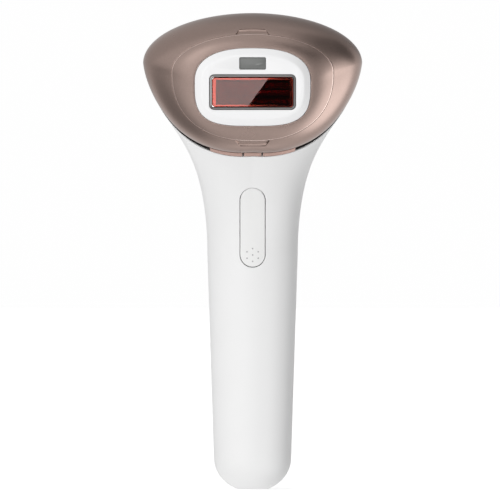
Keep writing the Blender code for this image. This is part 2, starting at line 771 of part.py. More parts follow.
def flash_switch():
    half = 3.1 * MM
    z = BUTTON_DOT_Z
    low = (-half, -TACT_FRONT, z - half)
    switch = box("flash_switch", low, (half, -TACT_FRONT + TACT_HEIGHT, z + half))
    add(switch, BLACK, smooth=False)
    well = rod("switch_well", 1.8 * MM, (0, -FAR, z), (0, -TACT_FRONT + 1.7 * MM, z), 16)
    boolean(switch, as_tool(well))
    plunger = rod("flash_plunger", 1.5 * MM, (0, -TACT_FRONT - PLUNGER_OUT, z), (0, -TACT_FRONT + 0.6 * MM, z), 16)
    add(plunger, COPPER, PLUNGER)


def button_spring():
    front = HANDLE_DEPTH / 2 - WALL - CLEAR
    add(coil("button_spring", 1.9 * MM, 0.2 * MM, BOARD_FRONT + CLEAR, front, 5, (0, SPRING_Z)), STEEL)


def rear_button(name, z, body, finish):
    button = add(body_skin(name), finish, body)
    prism = rod(name + "_prism", REAR_BUTTON_RADIUS, (0, 5 * MM, z), (0, HANDLE_DEPTH, z), 28)
    boolean(button, as_tool(prism), "INTERSECT")
    stem = rod(name + "_stem", 1.1 * MM, (0, REAR_TACT_TOP - 0.4 * MM, z), (0, HANDLE_DEPTH / 2, z), 12)
    boolean(stem, BODY_CORE, "INTERSECT")
    boolean(button, as_tool(stem), "UNION")


def rear_switch(name, z):
    half = 3.0 * MM
    bottom = REAR_BOARD_Y + BOARD_THICK + CLEAR
    switch = add(box(name, (-half, bottom, z - half), (half, REAR_TACT_TOP, z + half)), BLACK, smooth=False)
    well = rod(name + "_well", 1.1 * MM + CLEAR, (0, REAR_TACT_TOP - 1.4 * MM, z), (0, FAR, z), 12)
    boolean(switch, as_tool(well))


def light_guide():
    """One clear bar with a peg for each intensity light, trimmed flush with the body."""
    half = (PIP_COUNT - 1) / 2 * PIP_PITCH + 1.6 * MM
    bar_y = REAR_BOARD_Y + BOARD_THICK + CLEAR
    low = (-half, bar_y, PIP_Z - 1.2 * MM)
    guide = add(box("light_guide", low, (half, bar_y + GUIDE_THICK, PIP_Z + 1.2 * MM)), CLEAR_GLASS, smooth=False)
    for x in pip_places():
        peg = rod("pip_peg", PIP_RADIUS, (x, bar_y + 0.6 * MM, PIP_Z), (x, HANDLE_DEPTH, PIP_Z), 12)
        boolean(guide, as_tool(peg), "UNION")
    boolean(guide, BODY_CORE, "INTERSECT")


# ================================================================ skin-contact frame and window
def skin_frame():
    """The white frame: a cup with a flange behind the skirt, an opening for the window and one for the sensor."""
    flange_front = SKIRT_REACH - SKIRT_WALL - CLEAR
    flange_back = flange_front - FLANGE_THICK
    rings = [
        sleeve_from(frame_outline(FLANGE), flange_back),
        sleeve_from(frame_outline(FLANGE), flange_front),
        sleeve_from(frame_outline(), flange_front),
        sleeve_from(frame_outline(), SKIN_REACH - FRAME_ROUND),
    ]
    round_steps = 3
    for i in range(1, round_steps + 1):
        angle = math.pi / 2 * i / round_steps
        grow = FRAME_ROUND * (math.cos(angle) - 1)
        rings.append(sleeve_from(frame_outline(grow), SKIN_REACH - FRAME_ROUND * (1 - math.sin(angle))))
    frame = add(loft("skin_frame", rings, cap_first=True, cap_last=True), WHITE, FRAME)
    hollow = frame_outline(-FRAME_WALL)
    hollow_front = SKIN_REACH - FRAME_WALL - 0.2 * MM
    boolean(frame, as_tool(plate("frame_hollow", [hollow], hollow_front, hollow_front - BASE_REACH)))
    window = rounded_rectangle(seal_width() + 2 * CLEAR, seal_height() + 2 * CLEAR, 2.2 * MM, WINDOW_Z)
    boolean(frame, as_tool(plate("frame_window", [window], SKIN_REACH + 5 * MM, 15 * MM)))
    sensor = rounded_rectangle(SENSOR_WIDTH + 2 * CLEAR, SENSOR_HEIGHT + 2 * CLEAR, 0.5 * MM, SENSOR_Z, 2)
    boolean(frame, as_tool(plate("frame_sensor", [sensor], SKIN_REACH + 5 * MM, 15 * MM)))
    for x, z in post_places():
        start = (x, -flange_back - 0.5 * MM, z)
        post = rod("frame_post", 0.8 * MM, start, (x, -post_reach(), z), 12)
        boolean(frame, as_tool(post), "UNION")


def sleeve_from(outline, reach):
    return [(x, -reach, z) for x, z in outline]


def flange_line_x():
    return FRAME_WIDTH / 2 + (FLANGE - FRAME_WALL) / 2


def post_places():
    return ((-flange_line_x(), WINDOW_Z + 2 * MM), (flange_line_x(), WINDOW_Z + 2 * MM))


def post_reach():
    return BASE_REACH + CLEAR + FRAME_SWITCH + CLEAR + FRAME_TRAVEL


def seal_width():
    return GLASS_WIDTH + 2 * (CLEAR + SEAL_WALL)


def seal_height():
    return GLASS_HEIGHT + 2 * (CLEAR + SEAL_WALL)


def window():
    seal_front = SKIN_REACH - SEAL_RECESS
    outer = rounded_rectangle(seal_width(), seal_height(), 2.0 * MM, WINDOW_Z)
    inner = rounded_rectangle(GLASS_WIDTH + 2 * CLEAR, GLASS_HEIGHT + 2 * CLEAR, 1.2 * MM, WINDOW_Z)
    add(plate("window_seal", [outer, inner], seal_front, 3.0 * MM), SEAL_GREY, ATTACHMENT)
    glass_front = seal_front - 0.5 * MM
    half_x = GLASS_WIDTH / 2
    half_z = GLASS_HEIGHT / 2
    low = (-half_x, -glass_front, WINDOW_Z - half_z)
    high = (half_x, -glass_front + GLASS_THICK, WINDOW_Z + half_z)
    add(box("window_glass", low, high, GLASS_BEVEL), RED_GLASS, ATTACHMENT)
    duct_front = glass_front - GLASS_THICK - CLEAR
    duct_back = BASE_REACH - BASE_THICK
    outside = rounded_rectangle(GLASS_WIDTH, GLASS_HEIGHT, 1.2 * MM, WINDOW_Z, 2)
    inside_width = GLASS_WIDTH - 2 * DUCT_WALL
    inside_height = GLASS_HEIGHT - 2 * DUCT_WALL
    inside = rounded_rectangle(inside_width, inside_height, 0.7 * MM, WINDOW_Z, 2)
    add(plate("light_duct", [outside, inside], duct_front, duct_front - duct_back), MIRROR, ATTACHMENT)


def sensor_lens():
    half_x = SENSOR_WIDTH / 2
    half_z = SENSOR_HEIGHT / 2
    front = SKIN_REACH - 0.35 * MM
    low = (-half_x, -front, SENSOR_Z - half_z)
    add(box("sensor_lens", low, (half_x, -front + 2.2 * MM, SENSOR_Z + half_z), 0.3 * MM), SENSOR_GREY, FRAME)


def attachment_base():
    inset = SEAM_GAP * 2 + SKIRT_WALL + 1.5 * CLEAR
    outline = seam_outline(-inset)
    hole = rounded_rectangle(GLASS_WIDTH + 2 * CLEAR, GLASS_HEIGHT + 2 * CLEAR, 1.3 * MM, WINDOW_Z, 2)
    add(plate("attachment_base", [outline, hole], BASE_REACH, BASE_THICK), BLACK, ATTACHMENT)


def frame_springs():
    """Four springs between the frame's flange and the attachment's base, and the two switches it presses."""
    flange_back = SKIRT_REACH - SKIRT_WALL - CLEAR - FLANGE_THICK
    spring_z = (WINDOW_Z + 7.5 * MM, WINDOW_Z - 5.5 * MM)
    places = [(side * flange_line_x(), z) for z in spring_z for side in (-1, 1)]
    for i, place in enumerate(places, 1):
        spring = coil(f"frame_spring_{i}", 1.0 * MM, 0.17 * MM, BASE_REACH + CLEAR, flange_back - CLEAR, 3, place)
        add(spring, STEEL, ATTACHMENT)
    front = BASE_REACH + CLEAR + FRAME_SWITCH
    for name, (x, z) in zip(("frame_switch_left", "frame_switch_right"), post_places()):
        low = (x - 1.6 * MM, -front, z - 1.6 * MM)
        high = (x + 1.6 * MM, -front + FRAME_SWITCH, z + 1.6 * MM)
        add(box(name, low, high), BLACK, ATTACHMENT, smooth=False)


# ================================================================ contacts, bulkhead and optics
def contacts():
    pad_front = BASE_REACH - BASE_THICK - CLEAR
    half_x, half_z = CONTACT_HALF
    low = (-half_x, -pad_front, CONTACT_Z - half_z)
    add(box("contact_board", low, (half_x, -pad_front + 0.7 * MM, CONTACT_Z + half_z)), GOLD, ATTACHMENT, smooth=False)
    front = BULKHEAD_FRONT + 0.5 * MM
    low = (-half_x, -front, CONTACT_Z - half_z)
    block = box("contact_block", low, (half_x, -front + 4.0 * MM, CONTACT_Z + half_z))
    add(block, BLACK, smooth=False)
    pin_front = pad_front - 0.7 * MM - CLEAR
    for i in range(3):
        x = (i - 1) * CONTACT_PITCH
        hole = rod("pin_hole", 0.5 * MM + CLEAR, (x, -FAR, CONTACT_Z), (x, 0, CONTACT_Z), 12)
        boolean(block, as_tool(hole))
        start = (x, -pin_front, CONTACT_Z)
        add(rod(f"contact_pin_{i + 1}", 0.5 * MM, start, (x, -front + 5.0 * MM, CONTACT_Z), 12), GOLD)


def head_bulkhead():
    """The wall behind the attachment, with the openings for the filter glass and the contact block."""
    outline = head_outline(-5.2 * MM)
    filter_hole = rounded_rectangle(filter_width() + 2 * CLEAR, filter_height() + 2 * CLEAR, 0.4 * MM, WINDOW_Z, 2)
    half_x, half_z = CONTACT_HALF
    block_hole = rounded_rectangle(2 * (half_x + CLEAR), 2 * (half_z + CLEAR), 0.1 * MM, CONTACT_Z, 1)
    add(plate("head_bulkhead", [outline, filter_hole, block_hole], BULKHEAD_FRONT, BULKHEAD_THICK), WHITE)


def filter_width():
    return GLASS_WIDTH + 2.6 * MM


def filter_height():
    return GLASS_HEIGHT + 2.6 * MM


def optics():
    half_x = filter_width() / 2
    half_z = filter_height() / 2
    low = (-half_x, -BULKHEAD_FRONT, WINDOW_Z - half_z)
    high = (half_x, -CARRIER_FRONT - CLEAR, WINDOW_Z + half_z)
    add(box("filter_glass", low, high, 0.2 * MM), RED_GLASS)

    low = (-CARRIER_WIDTH / 2, -CARRIER_FRONT, WINDOW_Z - CARRIER_HEIGHT / 2)
    high = (CARRIER_WIDTH / 2, -CARRIER_FRONT + CARRIER_DEPTH, WINDOW_Z + CARRIER_HEIGHT / 2)
    carrier = add(box("lamp_carrier", low, high), BLACK, smooth=False)
    well_x = GLASS_WIDTH / 2 + 0.6 * MM
    well_z = TROUGH_MOUTH + TROUGH_WALL + CLEAR
    low = (-well_x, -FAR, WINDOW_Z - well_z)
    high = (well_x, -CARRIER_FRONT + TROUGH_DEPTH + TROUGH_WALL + 2 * CLEAR, WINDOW_Z + well_z)
    boolean(carrier, as_tool(box("carrier_well", low, high)))
    lamp_y = -CARRIER_FRONT + CLEAR + TROUGH_DEPTH - TROUGH_BACK
    ends = ((-FAR, lamp_y, WINDOW_Z), (FAR, lamp_y, WINDOW_Z))
    boolean(carrier, as_tool(rod("lamp_hole", LAMP_RADIUS + CLEAR, *ends)))
    half = LAMP_LENGTH / 2
    add(rod("flash_lamp", LAMP_RADIUS, (-half, lamp_y, WINDOW_Z), (half, lamp_y, WINDOW_Z)), CLEAR_GLASS)
    for name, side in (("lamp_cap_left", -1), ("lamp_cap_right", 1)):
        start = (side * (half + CLEAR), lamp_y, WINDOW_Z)
        add(rod(name, LAMP_RADIUS + 0.6 * MM, start, (side * (half + 4 * MM), lamp_y, WINDOW_Z)), STEEL)

    trough = plate("reflector", [trough_outline()], 0, GLASS_WIDTH)
    trough.rotation_euler = (0, 0, math.pi / 2)
    trough.location = (0, -CARRIER_FRONT + CLEAR, WINDOW_Z)
    add(trough, MIRROR)


def trough_outline():
    """Section of the reflector, as (depth from its mouth, height): a flared U of even wall."""
    points = []
    steps = 10
    for grow, order in ((TROUGH_WALL, 1), (0.0, -1)):
        line = [(0.0, TROUGH_MOUTH + grow)]
        centre = TROUGH_DEPTH - TROUGH_BACK
        for i in range(steps + 1):
            angle = math.pi / 2 - math.pi * i / steps
            radius = TROUGH_BACK + grow
            line.append((centre + radius * math.cos(angle), radius * math.sin(angle)))
        line.append((0.0, -TROUGH_MOUTH - grow))
        points += line[::order]
    return points


# ================================================================ cooling fan
def fan():
    y_front = -FAN_FRONT
    y_back = -FAN_FRONT + FAN_DEPTH
    half = FAN_SIZE / 2
    bore = half - 1.2 * MM
    frame = box("fan_housing", (-half, y_front, FAN_Z - half), (half, y_back, FAN_Z + half))
    add(frame, BLACK, smooth=False)
    boolean(frame, as_tool(rod("fan_bore", bore, (0, -FAR, FAN_Z), (0, FAR, FAN_Z), 32)))
    seat = rod("fan_seat", 5.0 * MM, (0, y_back - 1.2 * MM, FAN_Z), (0, y_back, FAN_Z), 24)
    boolean(frame, as_tool(seat), "UNION")
    strut_y = (y_back - 1.0 * MM, y_back - 0.2 * MM)
    strut = box("fan_strut", (-half + 0.6 * MM, strut_y[0], FAN_Z - 0.7 * MM), (half - 0.6 * MM, strut_y[1], FAN_Z + 0.7 * MM))
    boolean(frame, as_tool(strut), "UNION")
    hub_back = y_back - 1.2 * MM - CLEAR
    hub = add(rod("fan_impeller", 5.6 * MM, (0, y_front + CLEAR, FAN_Z), (0, hub_back, FAN_Z), 24), BLACK, FAN)
    for i in range(FAN_BLADES):
        turn = 2 * math.pi * i / FAN_BLADES
        blade = box("fan_blade", (4.9 * MM, -2.6 * MM, -0.35 * MM), (bore - 0.7 * MM, 2.6 * MM, 0.35 * MM))
        middle = blade.location.x
        blade.rotation_mode = "QUATERNION"
        pitch = Matrix.Rotation(math.radians(38), 4, "X")
        blade.rotation_quaternion = (Matrix.Rotation(-turn, 4, "Y") @ pitch).to_quaternion()
        y_middle = (y_front + CLEAR + hub_back) / 2
        blade.location = (middle * math.cos(turn), y_middle, FAN_Z + middle * math.sin(turn))
        boolean(hub, as_tool(blade), "UNION")


# ================================================================ chassis, boards and power
def chassis():
    """The inner frame: a plate up the handle, with a shelf under the lamp carrier."""
    front = CHASSIS_BACK + CHASSIS_THICK
    low_z = SCREW_PLACES[0][1] - 3.0 * MM
    top_z = WINDOW_Z - CARRIER_HEIGHT / 2 - 7.0 * MM
    wide = 14.0 * MM
    narrow = 10.6 * MM
    outline = [(-narrow, low_z), (narrow, low_z), (wide, NECK_Z), (wide, top_z), (-wide, top_z), (-wide, NECK_Z)]
    holes = [circle(SCREW_RADIUS + CLEAR, x, z, 12) for x, z in SCREW_PLACES]
    frame = add(plate("chassis", [outline, *holes], front, CHASSIS_THICK), BLACK)
    shelf_front = CARRIER_FRONT - 3.0 * MM
    shelf = box("shelf", (-wide, -shelf_front, top_z - 1.4 * MM), (wide, -CHASSIS_BACK - 0.2 * MM, top_z))
    boolean(frame, as_tool(shelf), "UNION")
    post_top = WINDOW_Z - CARRIER_HEIGHT / 2 - CLEAR
    for side in (-1, 1):
        x = side * (wide - 2.0 * MM)
        low = (x - 1.6 * MM, -shelf_front + 2 * MM, top_z - 0.7 * MM)
        post = box("shelf_post", low, (x + 1.6 * MM, -FAN_FRONT - 1 * MM, post_top))
        boolean(frame, as_tool(post), "UNION")
    coil_low = (-6.5 * MM, -shelf_front + 6 * MM, top_z + CLEAR)
    add(box("trigger_coil", coil_low, (6.5 * MM, -FAN_FRONT - 4 * MM, post_top - 1 * MM), 0.5 * MM), FERRITE)


def screws():
    front = CHASSIS_BACK + CHASSIS_THICK + CLEAR
    head = 1.2 * MM
    length = 8.0 * MM
    profile = [(0, head), (SCREW_HEAD * 0.8, head), (SCREW_HEAD, head * 0.4), (SCREW_HEAD, 0)]
    profile += [(SCREW_RADIUS, 0), (SCREW_RADIUS, -length + 1 * MM), (0, -length)]
    for i, (x, z) in enumerate(SCREW_PLACES, 1):
        add(turned(f"chassis_screw_{i}", profile, (x, -front, z), (0, -1, 0), 16), STEEL)


def boards():
    back = CHASSIS_BACK + CHASSIS_THICK + CLEAR
    half = 10.2 * MM
    low_z = SCREW_PLACES[0][1] + SCREW_HEAD + 1.0 * MM
    split_low = SCREW_PLACES[1][1] - SCREW_HEAD - 1.0 * MM
    split_high = SCREW_PLACES[1][1] + SCREW_HEAD + 1.0 * MM
    high_z = HINGE_Z - 3.0 * MM - CLEAR
    main = box("main_board", (-half, -BOARD_FRONT, low_z), (half, -back, split_low))
    add(main, BOARD_GREEN, smooth=False)
    top_half = 8.0 * MM
    switch = box("switch_board", (-top_half, -BOARD_FRONT, split_high), (top_half, -back, high_z))
    add(switch, BOARD_GREEN, smooth=False)
    on_board = BOARD_FRONT + CLEAR
    transformer = box(
        "power_transformer",
        (-6.5 * MM, -on_board - 3.6 * MM, split_low - 20 * MM),
        (6.5 * MM, -on_board, split_low - 6 * MM),
        0.4 * MM,
    )
    add(transformer, FERRITE)
    chip = box("control_chip", (-4 * MM, -on_board - 1.2 * MM, low_z + 10 * MM), (4 * MM, -on_board, low_z + 18 * MM))
    add(chip, BLACK, smooth=False)
    rear_low = SCREW_PLACES[2][1] + 2.6 * MM
    rear = box("rear_board", (-9 * MM, REAR_BOARD_Y, rear_low), (9 * MM, REAR_BOARD_Y + BOARD_THICK, PIP_Z + 2.5 * MM))
    add(rear, BOARD_GREEN, smooth=False)


def power():
    cell_y = CELL_RADIUS - CHASSIS_BACK + CLEAR
    profile = [(0, CELL_LENGTH), (2.8 * MM, CELL_LENGTH), (2.8 * MM, CELL_LENGTH - 1 * MM)]
    profile += [(CELL_RADIUS - 0.8 * MM, CELL_LENGTH - 1 * MM), (CELL_RADIUS, CELL_LENGTH - 1.8 * MM)]
    profile += [(CELL_RADIUS, 0.6 * MM), (CELL_RADIUS - 0.6 * MM, 0), (0, 0)]
    add(turned("battery_cell", profile, (0, cell_y, CELL_LOW), (0, 0, 1)), CELL_BLUE)
    can_y = CAPACITOR_RADIUS - CHASSIS_BACK + CLEAR
    length = CAPACITOR_LENGTH
    profile = [(0, length), (CAPACITOR_RADIUS - 0.8 * MM, length), (CAPACITOR_RADIUS, length - 0.8 * MM)]
    profile += [(CAPACITOR_RADIUS, 4 * MM), (CAPACITOR_RADIUS - 0.7 * MM, 3.3 * MM)]
    profile += [(CAPACITOR_RADIUS - 0.7 * MM, 2.6 * MM), (CAPACITOR_RADIUS, 1.9 * MM), (CAPACITOR_RADIUS, 0), (0, 0)]
    add(turned("flash_capacitor", profile, (0, can_y, CAPACITOR_LOW), (0, 0, 1)), CAN_BLACK)


def power_inlet():
    """The round socket in the bottom end, and its centre pin."""
    body_radius = SOCKET_RADIUS - 0.6 * MM
    height = SOCKET_DEPTH + 1.6 * MM
    profile = [(0, height), (body_radius, height), (body_radius, 1.2 * MM), (SOCKET_RADIUS, 1.2 * MM)]
    profile += [(SOCKET_RADIUS, 0), (SOCKET_BORE, 0), (SOCKET_BORE, SOCKET_DEPTH), (0, SOCKET_DEPTH)]
    add(turned("power_socket", profile, (0, 0, 0), (0, 0, 1)), BLACK)
    pin = rod("socket_pin", 1.0 * MM, (0, 0, 1.2 * MM), (0, 0, SOCKET_DEPTH - CLEAR), 16)
    add(pin, STEEL)


# ================================================================ assembly
front_shell()
rear_shell()
head_ring()
vent_collar()
collar_trim()
attachment_skirt()
attachment_base()
skin_frame()
window()
sensor_lens()
frame_springs()
contacts()
head_bulkhead()
optics()
fan()
flash_button()
button_bracket()
flash_switch()
button_spring()
rear_button("power_button", POWER_Z, POWER, WHITE)
rear_button("intensity_button", INTENSITY_Z, INTENSITY, WHITE)
rear_switch("power_switch", POWER_Z)
rear_switch("intensity_switch", INTENSITY_Z)
light_guide()
chassis()
screws()
boards()
power()
power_inlet()
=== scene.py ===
"""The looks of a handheld light-pulse hair remover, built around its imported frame.

Every outer skin is laid again from the same curves that the frame was built on, this time fine and smooth.
Lengths are in millimetres times MM, and y is measured from the handle's axis until a piece is placed.
"""

import math

import bmesh
import bpy
import numpy as np
from mathutils import Matrix, Vector


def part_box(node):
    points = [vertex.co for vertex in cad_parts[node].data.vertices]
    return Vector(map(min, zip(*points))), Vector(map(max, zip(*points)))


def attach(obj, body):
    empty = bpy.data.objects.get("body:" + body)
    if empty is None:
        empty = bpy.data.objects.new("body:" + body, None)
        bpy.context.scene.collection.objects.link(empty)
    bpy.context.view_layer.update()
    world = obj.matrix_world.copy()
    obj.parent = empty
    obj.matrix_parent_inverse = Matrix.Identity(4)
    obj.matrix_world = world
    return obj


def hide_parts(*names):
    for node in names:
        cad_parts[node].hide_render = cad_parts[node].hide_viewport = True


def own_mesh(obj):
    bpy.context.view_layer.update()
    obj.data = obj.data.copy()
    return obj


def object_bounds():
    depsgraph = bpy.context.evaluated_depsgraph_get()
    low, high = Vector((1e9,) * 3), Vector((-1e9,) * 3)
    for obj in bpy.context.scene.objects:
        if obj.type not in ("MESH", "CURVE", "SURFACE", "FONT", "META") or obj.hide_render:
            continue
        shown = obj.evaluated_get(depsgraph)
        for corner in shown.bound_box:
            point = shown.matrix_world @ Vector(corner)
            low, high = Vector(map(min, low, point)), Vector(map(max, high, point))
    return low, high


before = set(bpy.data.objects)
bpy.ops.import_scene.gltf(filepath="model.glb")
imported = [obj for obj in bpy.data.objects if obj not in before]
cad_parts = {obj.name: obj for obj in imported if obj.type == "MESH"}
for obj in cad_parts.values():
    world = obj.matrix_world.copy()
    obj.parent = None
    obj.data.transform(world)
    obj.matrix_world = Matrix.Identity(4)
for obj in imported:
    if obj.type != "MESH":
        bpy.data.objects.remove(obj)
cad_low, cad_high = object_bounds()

MM = 0.001

# ---------------------------------------------------------------- sizes the frame gives
SOCKET_LOW, SOCKET_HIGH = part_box("power_socket")
HANDLE_Y = (SOCKET_LOW.y + SOCKET_HIGH.y) / 2
SOCKET_RADIUS = (SOCKET_HIGH.x - SOCKET_LOW.x) / 2
HEAD_WIDTH = cad_high.x - cad_low.x
HEAD_TOP = cad_high.z
SKIN_REACH = HANDLE_Y - cad_low.y
HANDLE_DEPTH = 2 * (cad_high.y - HANDLE_Y)

# ---------------------------------------------------------------- sizes of the curves
CLEAR = 0.3 * MM  # gap between pieces
SPLIT = CLEAR / 2  # from the middle of the body to the edge of each shell
FINE_GAP = 0.1 * MM  # between pieces that meet tightly
SEAM_GAP = 0.03 * MM  # between the attachment and the ring
WALL = 2.2 * MM
NECK_Z = 100.0 * MM  # where the straight handle ends and the neck begins
END_HEIGHT = 13.0 * MM  # height of the rounded lower end
END_FLAT = 6.5 * MM  # half width of the flat at the bottom
HANDLE_END_WIDTH = 32.6 * MM
HANDLE_WIDTH = 38.2 * MM
HANDLE_END_DEPTH = 30.4 * MM
SECTION_POWER = 2.15  # how square a handle section is
HEAD_LOW = 141.9 * MM
HEAD_WIDEST = 0.64  # height of the widest point, as a share of the head
SHIELD = 0.024  # how much the head's lower sides are drawn straight
RING_REACH_LOW = 37.4 * MM  # from the handle's axis to the ring's rear edge, at its lowest point
RING_REACH_TOP = 25.6 * MM
RING_WALL = 2.0 * MM
VENT_GAP = 3.3 * MM  # between the ring's rear edge and the body, at the lowest point
VENT_GAP_TOP = 2.6 * MM
VENT_DROP = 1.7 * MM  # how far the body's edge stands out below the ring's
VENT_INSET = 0.8 * MM  # how far the body's edge lies inside the ring's at its sides
GROOVE = 3.2 * MM  # depth of the vent groove
FLARE = 0.65  # how early the neck widens
FRAME_WIDTH = 48.4 * MM
FRAME_TOP = 185.4 * MM
FRAME_LOW = 152.9 * MM
FRAME_WIDEST = 0.56
FRAME_POWERS = (2.45, 3.4)  # how square the frame is, above and below its widest point
FRAME_PROUD = 3.5 * MM  # how far the frame stands out of the skirt
FRAME_WALL = 1.6 * MM
FLANGE = 1.6 * MM
FLANGE_THICK = 1.4 * MM
SEAM_WIDTH = 67.8 * MM
SEAM_TOP = 191.4 * MM
SEAM_LOW = 146.6 * MM
SEAM_WIDEST = 0.645
SEAM_POWERS = (2.0, 2.3)
SKIRT_WALL = 1.8 * MM
SLEEVE = 4.3 * MM  # depth of the ring's wall around the attachment
BASE_REACH = 38.6 * MM  # front of the attachment's base plate
BASE_THICK = 1.4 * MM
WINDOW_Z = 167.0 * MM
GLASS_WIDTH = 33.7 * MM
GLASS_HEIGHT = 12.3 * MM
SEAL_WALL = 0.9 * MM
SEAL_RECESS = 0.7 * MM  # from the skin-contact face to the seal
SEAL_DEPTH = 3.0 * MM
SEAL_EDGE = 0.12 * MM
SEAL_FLAT = 0.38 * MM  # width of the seal's flat front
SEAL_SLOPE = 0.48 * MM  # how far its inner side falls back to the glass
DUCT_RIM_X = 1.45 * MM  # how far the light duct's rim shows inside the glass, at its sides
DUCT_RIM_Z = 0.9 * MM
SENSOR_Z = 179.0 * MM
SENSOR_WIDTH = 10.9 * MM
SENSOR_HEIGHT = 4.9 * MM
BUTTON_WIDTH = 10.5 * MM
BUTTON_LOW = 93.9 * MM
BUTTON_TOP = 126.9 * MM
BUTTON_DOT_Z = 98.9 * MM
POWER_Z = 129.0 * MM
INTENSITY_Z = 142.0 * MM
REAR_BUTTON_RADIUS = 5.2 * MM
PIP_Z = 151.5 * MM
PIP_PITCH = 3.6 * MM
PIP_RADIUS = 0.8 * MM
PIP_COUNT = 5
SLOT_LOW = 159.0 * MM
SLOT_PITCH = 3.4 * MM
SLOT_COUNT = 6
SLOT_HEIGHT = 1.3 * MM
SLOT_WIDTH = 26.0 * MM  # of the lowest slot
SLOT_STEP = 2.0 * MM  # how much narrower each slot is than the one below
NOTCH_BASE = 13.7 * MM
NOTCH_TIP = 10.5 * MM
NOTCH_HEIGHT = 2.0 * MM
NOTCH_DEPTH = 1.1 * MM
NOTCH_EDGE = (0.12 * MM, 0.34 * MM)  # where a notch's rounded edge begins, and how wide it is
LIP_WALL = 0.7 * MM
LIP_SHARE = 0.66  # where the vent collar's lip stands between the ring and the body
TRIM_WALL = 0.8 * MM
TRIM_HALF = 17.2 * MM
TRIM_SLIT_X = 4.0 * MM
TRIM_SLIT = 0.6 * MM
HINGE_Z = 123.8 * MM
HINGE_REACH = 15.4 * MM
AXLE_RADIUS = 1.0 * MM
LUG_HALF = 2.8 * MM
POST_RADIUS = 1.8 * MM
SOCKET_BORE = 2.75 * MM
SOCKET_DEPTH = 11.0 * MM

TURN = 2 * math.pi
FAR = 0.3  # longer than the object, for cutting tools


# ================================================================ curves the skins follow
def bulge(value, power):
    return np.copysign(np.abs(value) ** (2 / power), value)


def egg(angle, half_width, low, high, widest, power_top, power_low, shield=0.0):
    """x and z of a closed egg outline, from its widest point on the right and over the top."""
    across = np.cos(angle)
    up = np.sin(angle)
    upper = up >= 0
    power = np.where(upper, power_top, power_low)
    height = np.where(upper, 1 - widest, widest) * (high - low)
    drawn_in = np.where(upper, 1.0, 1 - shield * np.sin(4 * np.arctan2(np.abs(up), np.abs(across))))
    x = half_width * bulge(across, power) * drawn_in
    z = low + widest * (high - low) + height * bulge(up, power) * drawn_in
    return x, z


def outline_of(width, low, top, *shape):
    """An egg outline that takes an angle, and how much to grow all round."""
    return lambda angle, grow=0.0: egg(angle, width / 2 + grow, low - grow, top + grow, *shape)


frame_outline = outline_of(FRAME_WIDTH, FRAME_LOW, FRAME_TOP, FRAME_WIDEST, *FRAME_POWERS)
seam_outline = outline_of(SEAM_WIDTH, SEAM_LOW, SEAM_TOP, SEAM_WIDEST, *SEAM_POWERS)
head_outline = outline_of(HEAD_WIDTH, HEAD_LOW, HEAD_TOP, HEAD_WIDEST, 2.0, 2.0, SHIELD)


def box_outline(width, height, radius, centre_z, corner=8):
    """x and z of a rectangle with round corners."""
    xs = []
    zs = []
    for quarter in range(4):
        side = 1 if quarter in (0, 3) else -1
        top = 1 if quarter in (0, 1) else -1
        turn = np.pi / 2 * (quarter + np.linspace(0, 1, corner + 1))
        xs.append(side * (width / 2 - radius) + radius * np.cos(turn))
        zs.append(centre_z + top * (height / 2 - radius) + radius * np.sin(turn))
    return np.concatenate(xs), np.concatenate(zs)


def section(angle, front, back, half_width, widest, power, shield=0.0, inset=0.0):
    """Points of a body section that spans from front to back, both rows of (y, z)."""
    along = back - front
    along /= np.linalg.norm(along, axis=-1, keepdims=True)
    front = front + along * np.reshape(inset, (-1, 1))
    back = back - along * np.reshape(inset, (-1, 1))
    x, share = egg(angle, half_width - inset, 0.0, 1.0, widest, power, power, shield)
    middle = front + (back - front) * share[:, None]
    return np.column_stack([x, middle])


RING_FRONT = np.array([-RING_REACH_LOW, HEAD_LOW])
RING_BACK = np.array([-RING_REACH_TOP, HEAD_TOP])
BODY_FRONT = np.array([-RING_REACH_LOW + math.sqrt(VENT_GAP**2 - VENT_DROP**2), HEAD_LOW - VENT_DROP])
BODY_BACK = np.array([-RING_REACH_TOP + VENT_GAP_TOP, HEAD_TOP - CLEAR])
HALF_DEPTH = HANDLE_DEPTH / 2
FRONT_CURVE = (
    np.array([-HALF_DEPTH, NECK_Z]),
    np.array([-HALF_DEPTH, NECK_Z + 18.0 * MM]),
    BODY_FRONT + (9.5 * MM, -10.5 * MM),
    BODY_FRONT,
)
BACK_CURVE = (
    np.array([HALF_DEPTH, NECK_Z]),
    np.array([HALF_DEPTH, NECK_Z + 64.0 * MM]),
    BODY_BACK + (26.0 * MM, 0.0),
    BODY_BACK,
)


def bezier(curve, t):
    t = t[:, None]
    a, b, c, d = curve
    return a * (1 - t) ** 3 + b * 3 * (1 - t) ** 2 * t + c * 3 * (1 - t) * t * t + d * t**3


def neck_skin(t, angle):
    ease = 3 * (1 - t) * t * t * FLARE + t**3
    half_width = HANDLE_WIDTH / 2 + (HEAD_WIDTH / 2 - VENT_INSET - HANDLE_WIDTH / 2) * ease
    widest = 0.5 + (HEAD_WIDEST - 0.5) * t
    power = SECTION_POWER + (2.0 - SECTION_POWER) * t
    return section(angle, bezier(FRONT_CURVE, t), bezier(BACK_CURVE, t), half_width, widest, power, SHIELD * t)


def handle_skin(z, scale, angle):
    up = np.clip((z - END_HEIGHT) / (NECK_Z - END_HEIGHT), 0, None)
    half_width = (HANDLE_END_WIDTH + (HANDLE_WIDTH - HANDLE_END_WIDTH) * up) / 2 * scale
    half_depth = (HANDLE_END_DEPTH + (HANDLE_DEPTH - HANDLE_END_DEPTH) * up) / 2 * scale
    front = np.column_stack([-half_depth, z])
    back = np.column_stack([half_depth, z])
    return section(angle, front, back, half_width, 0.5, SECTION_POWER)


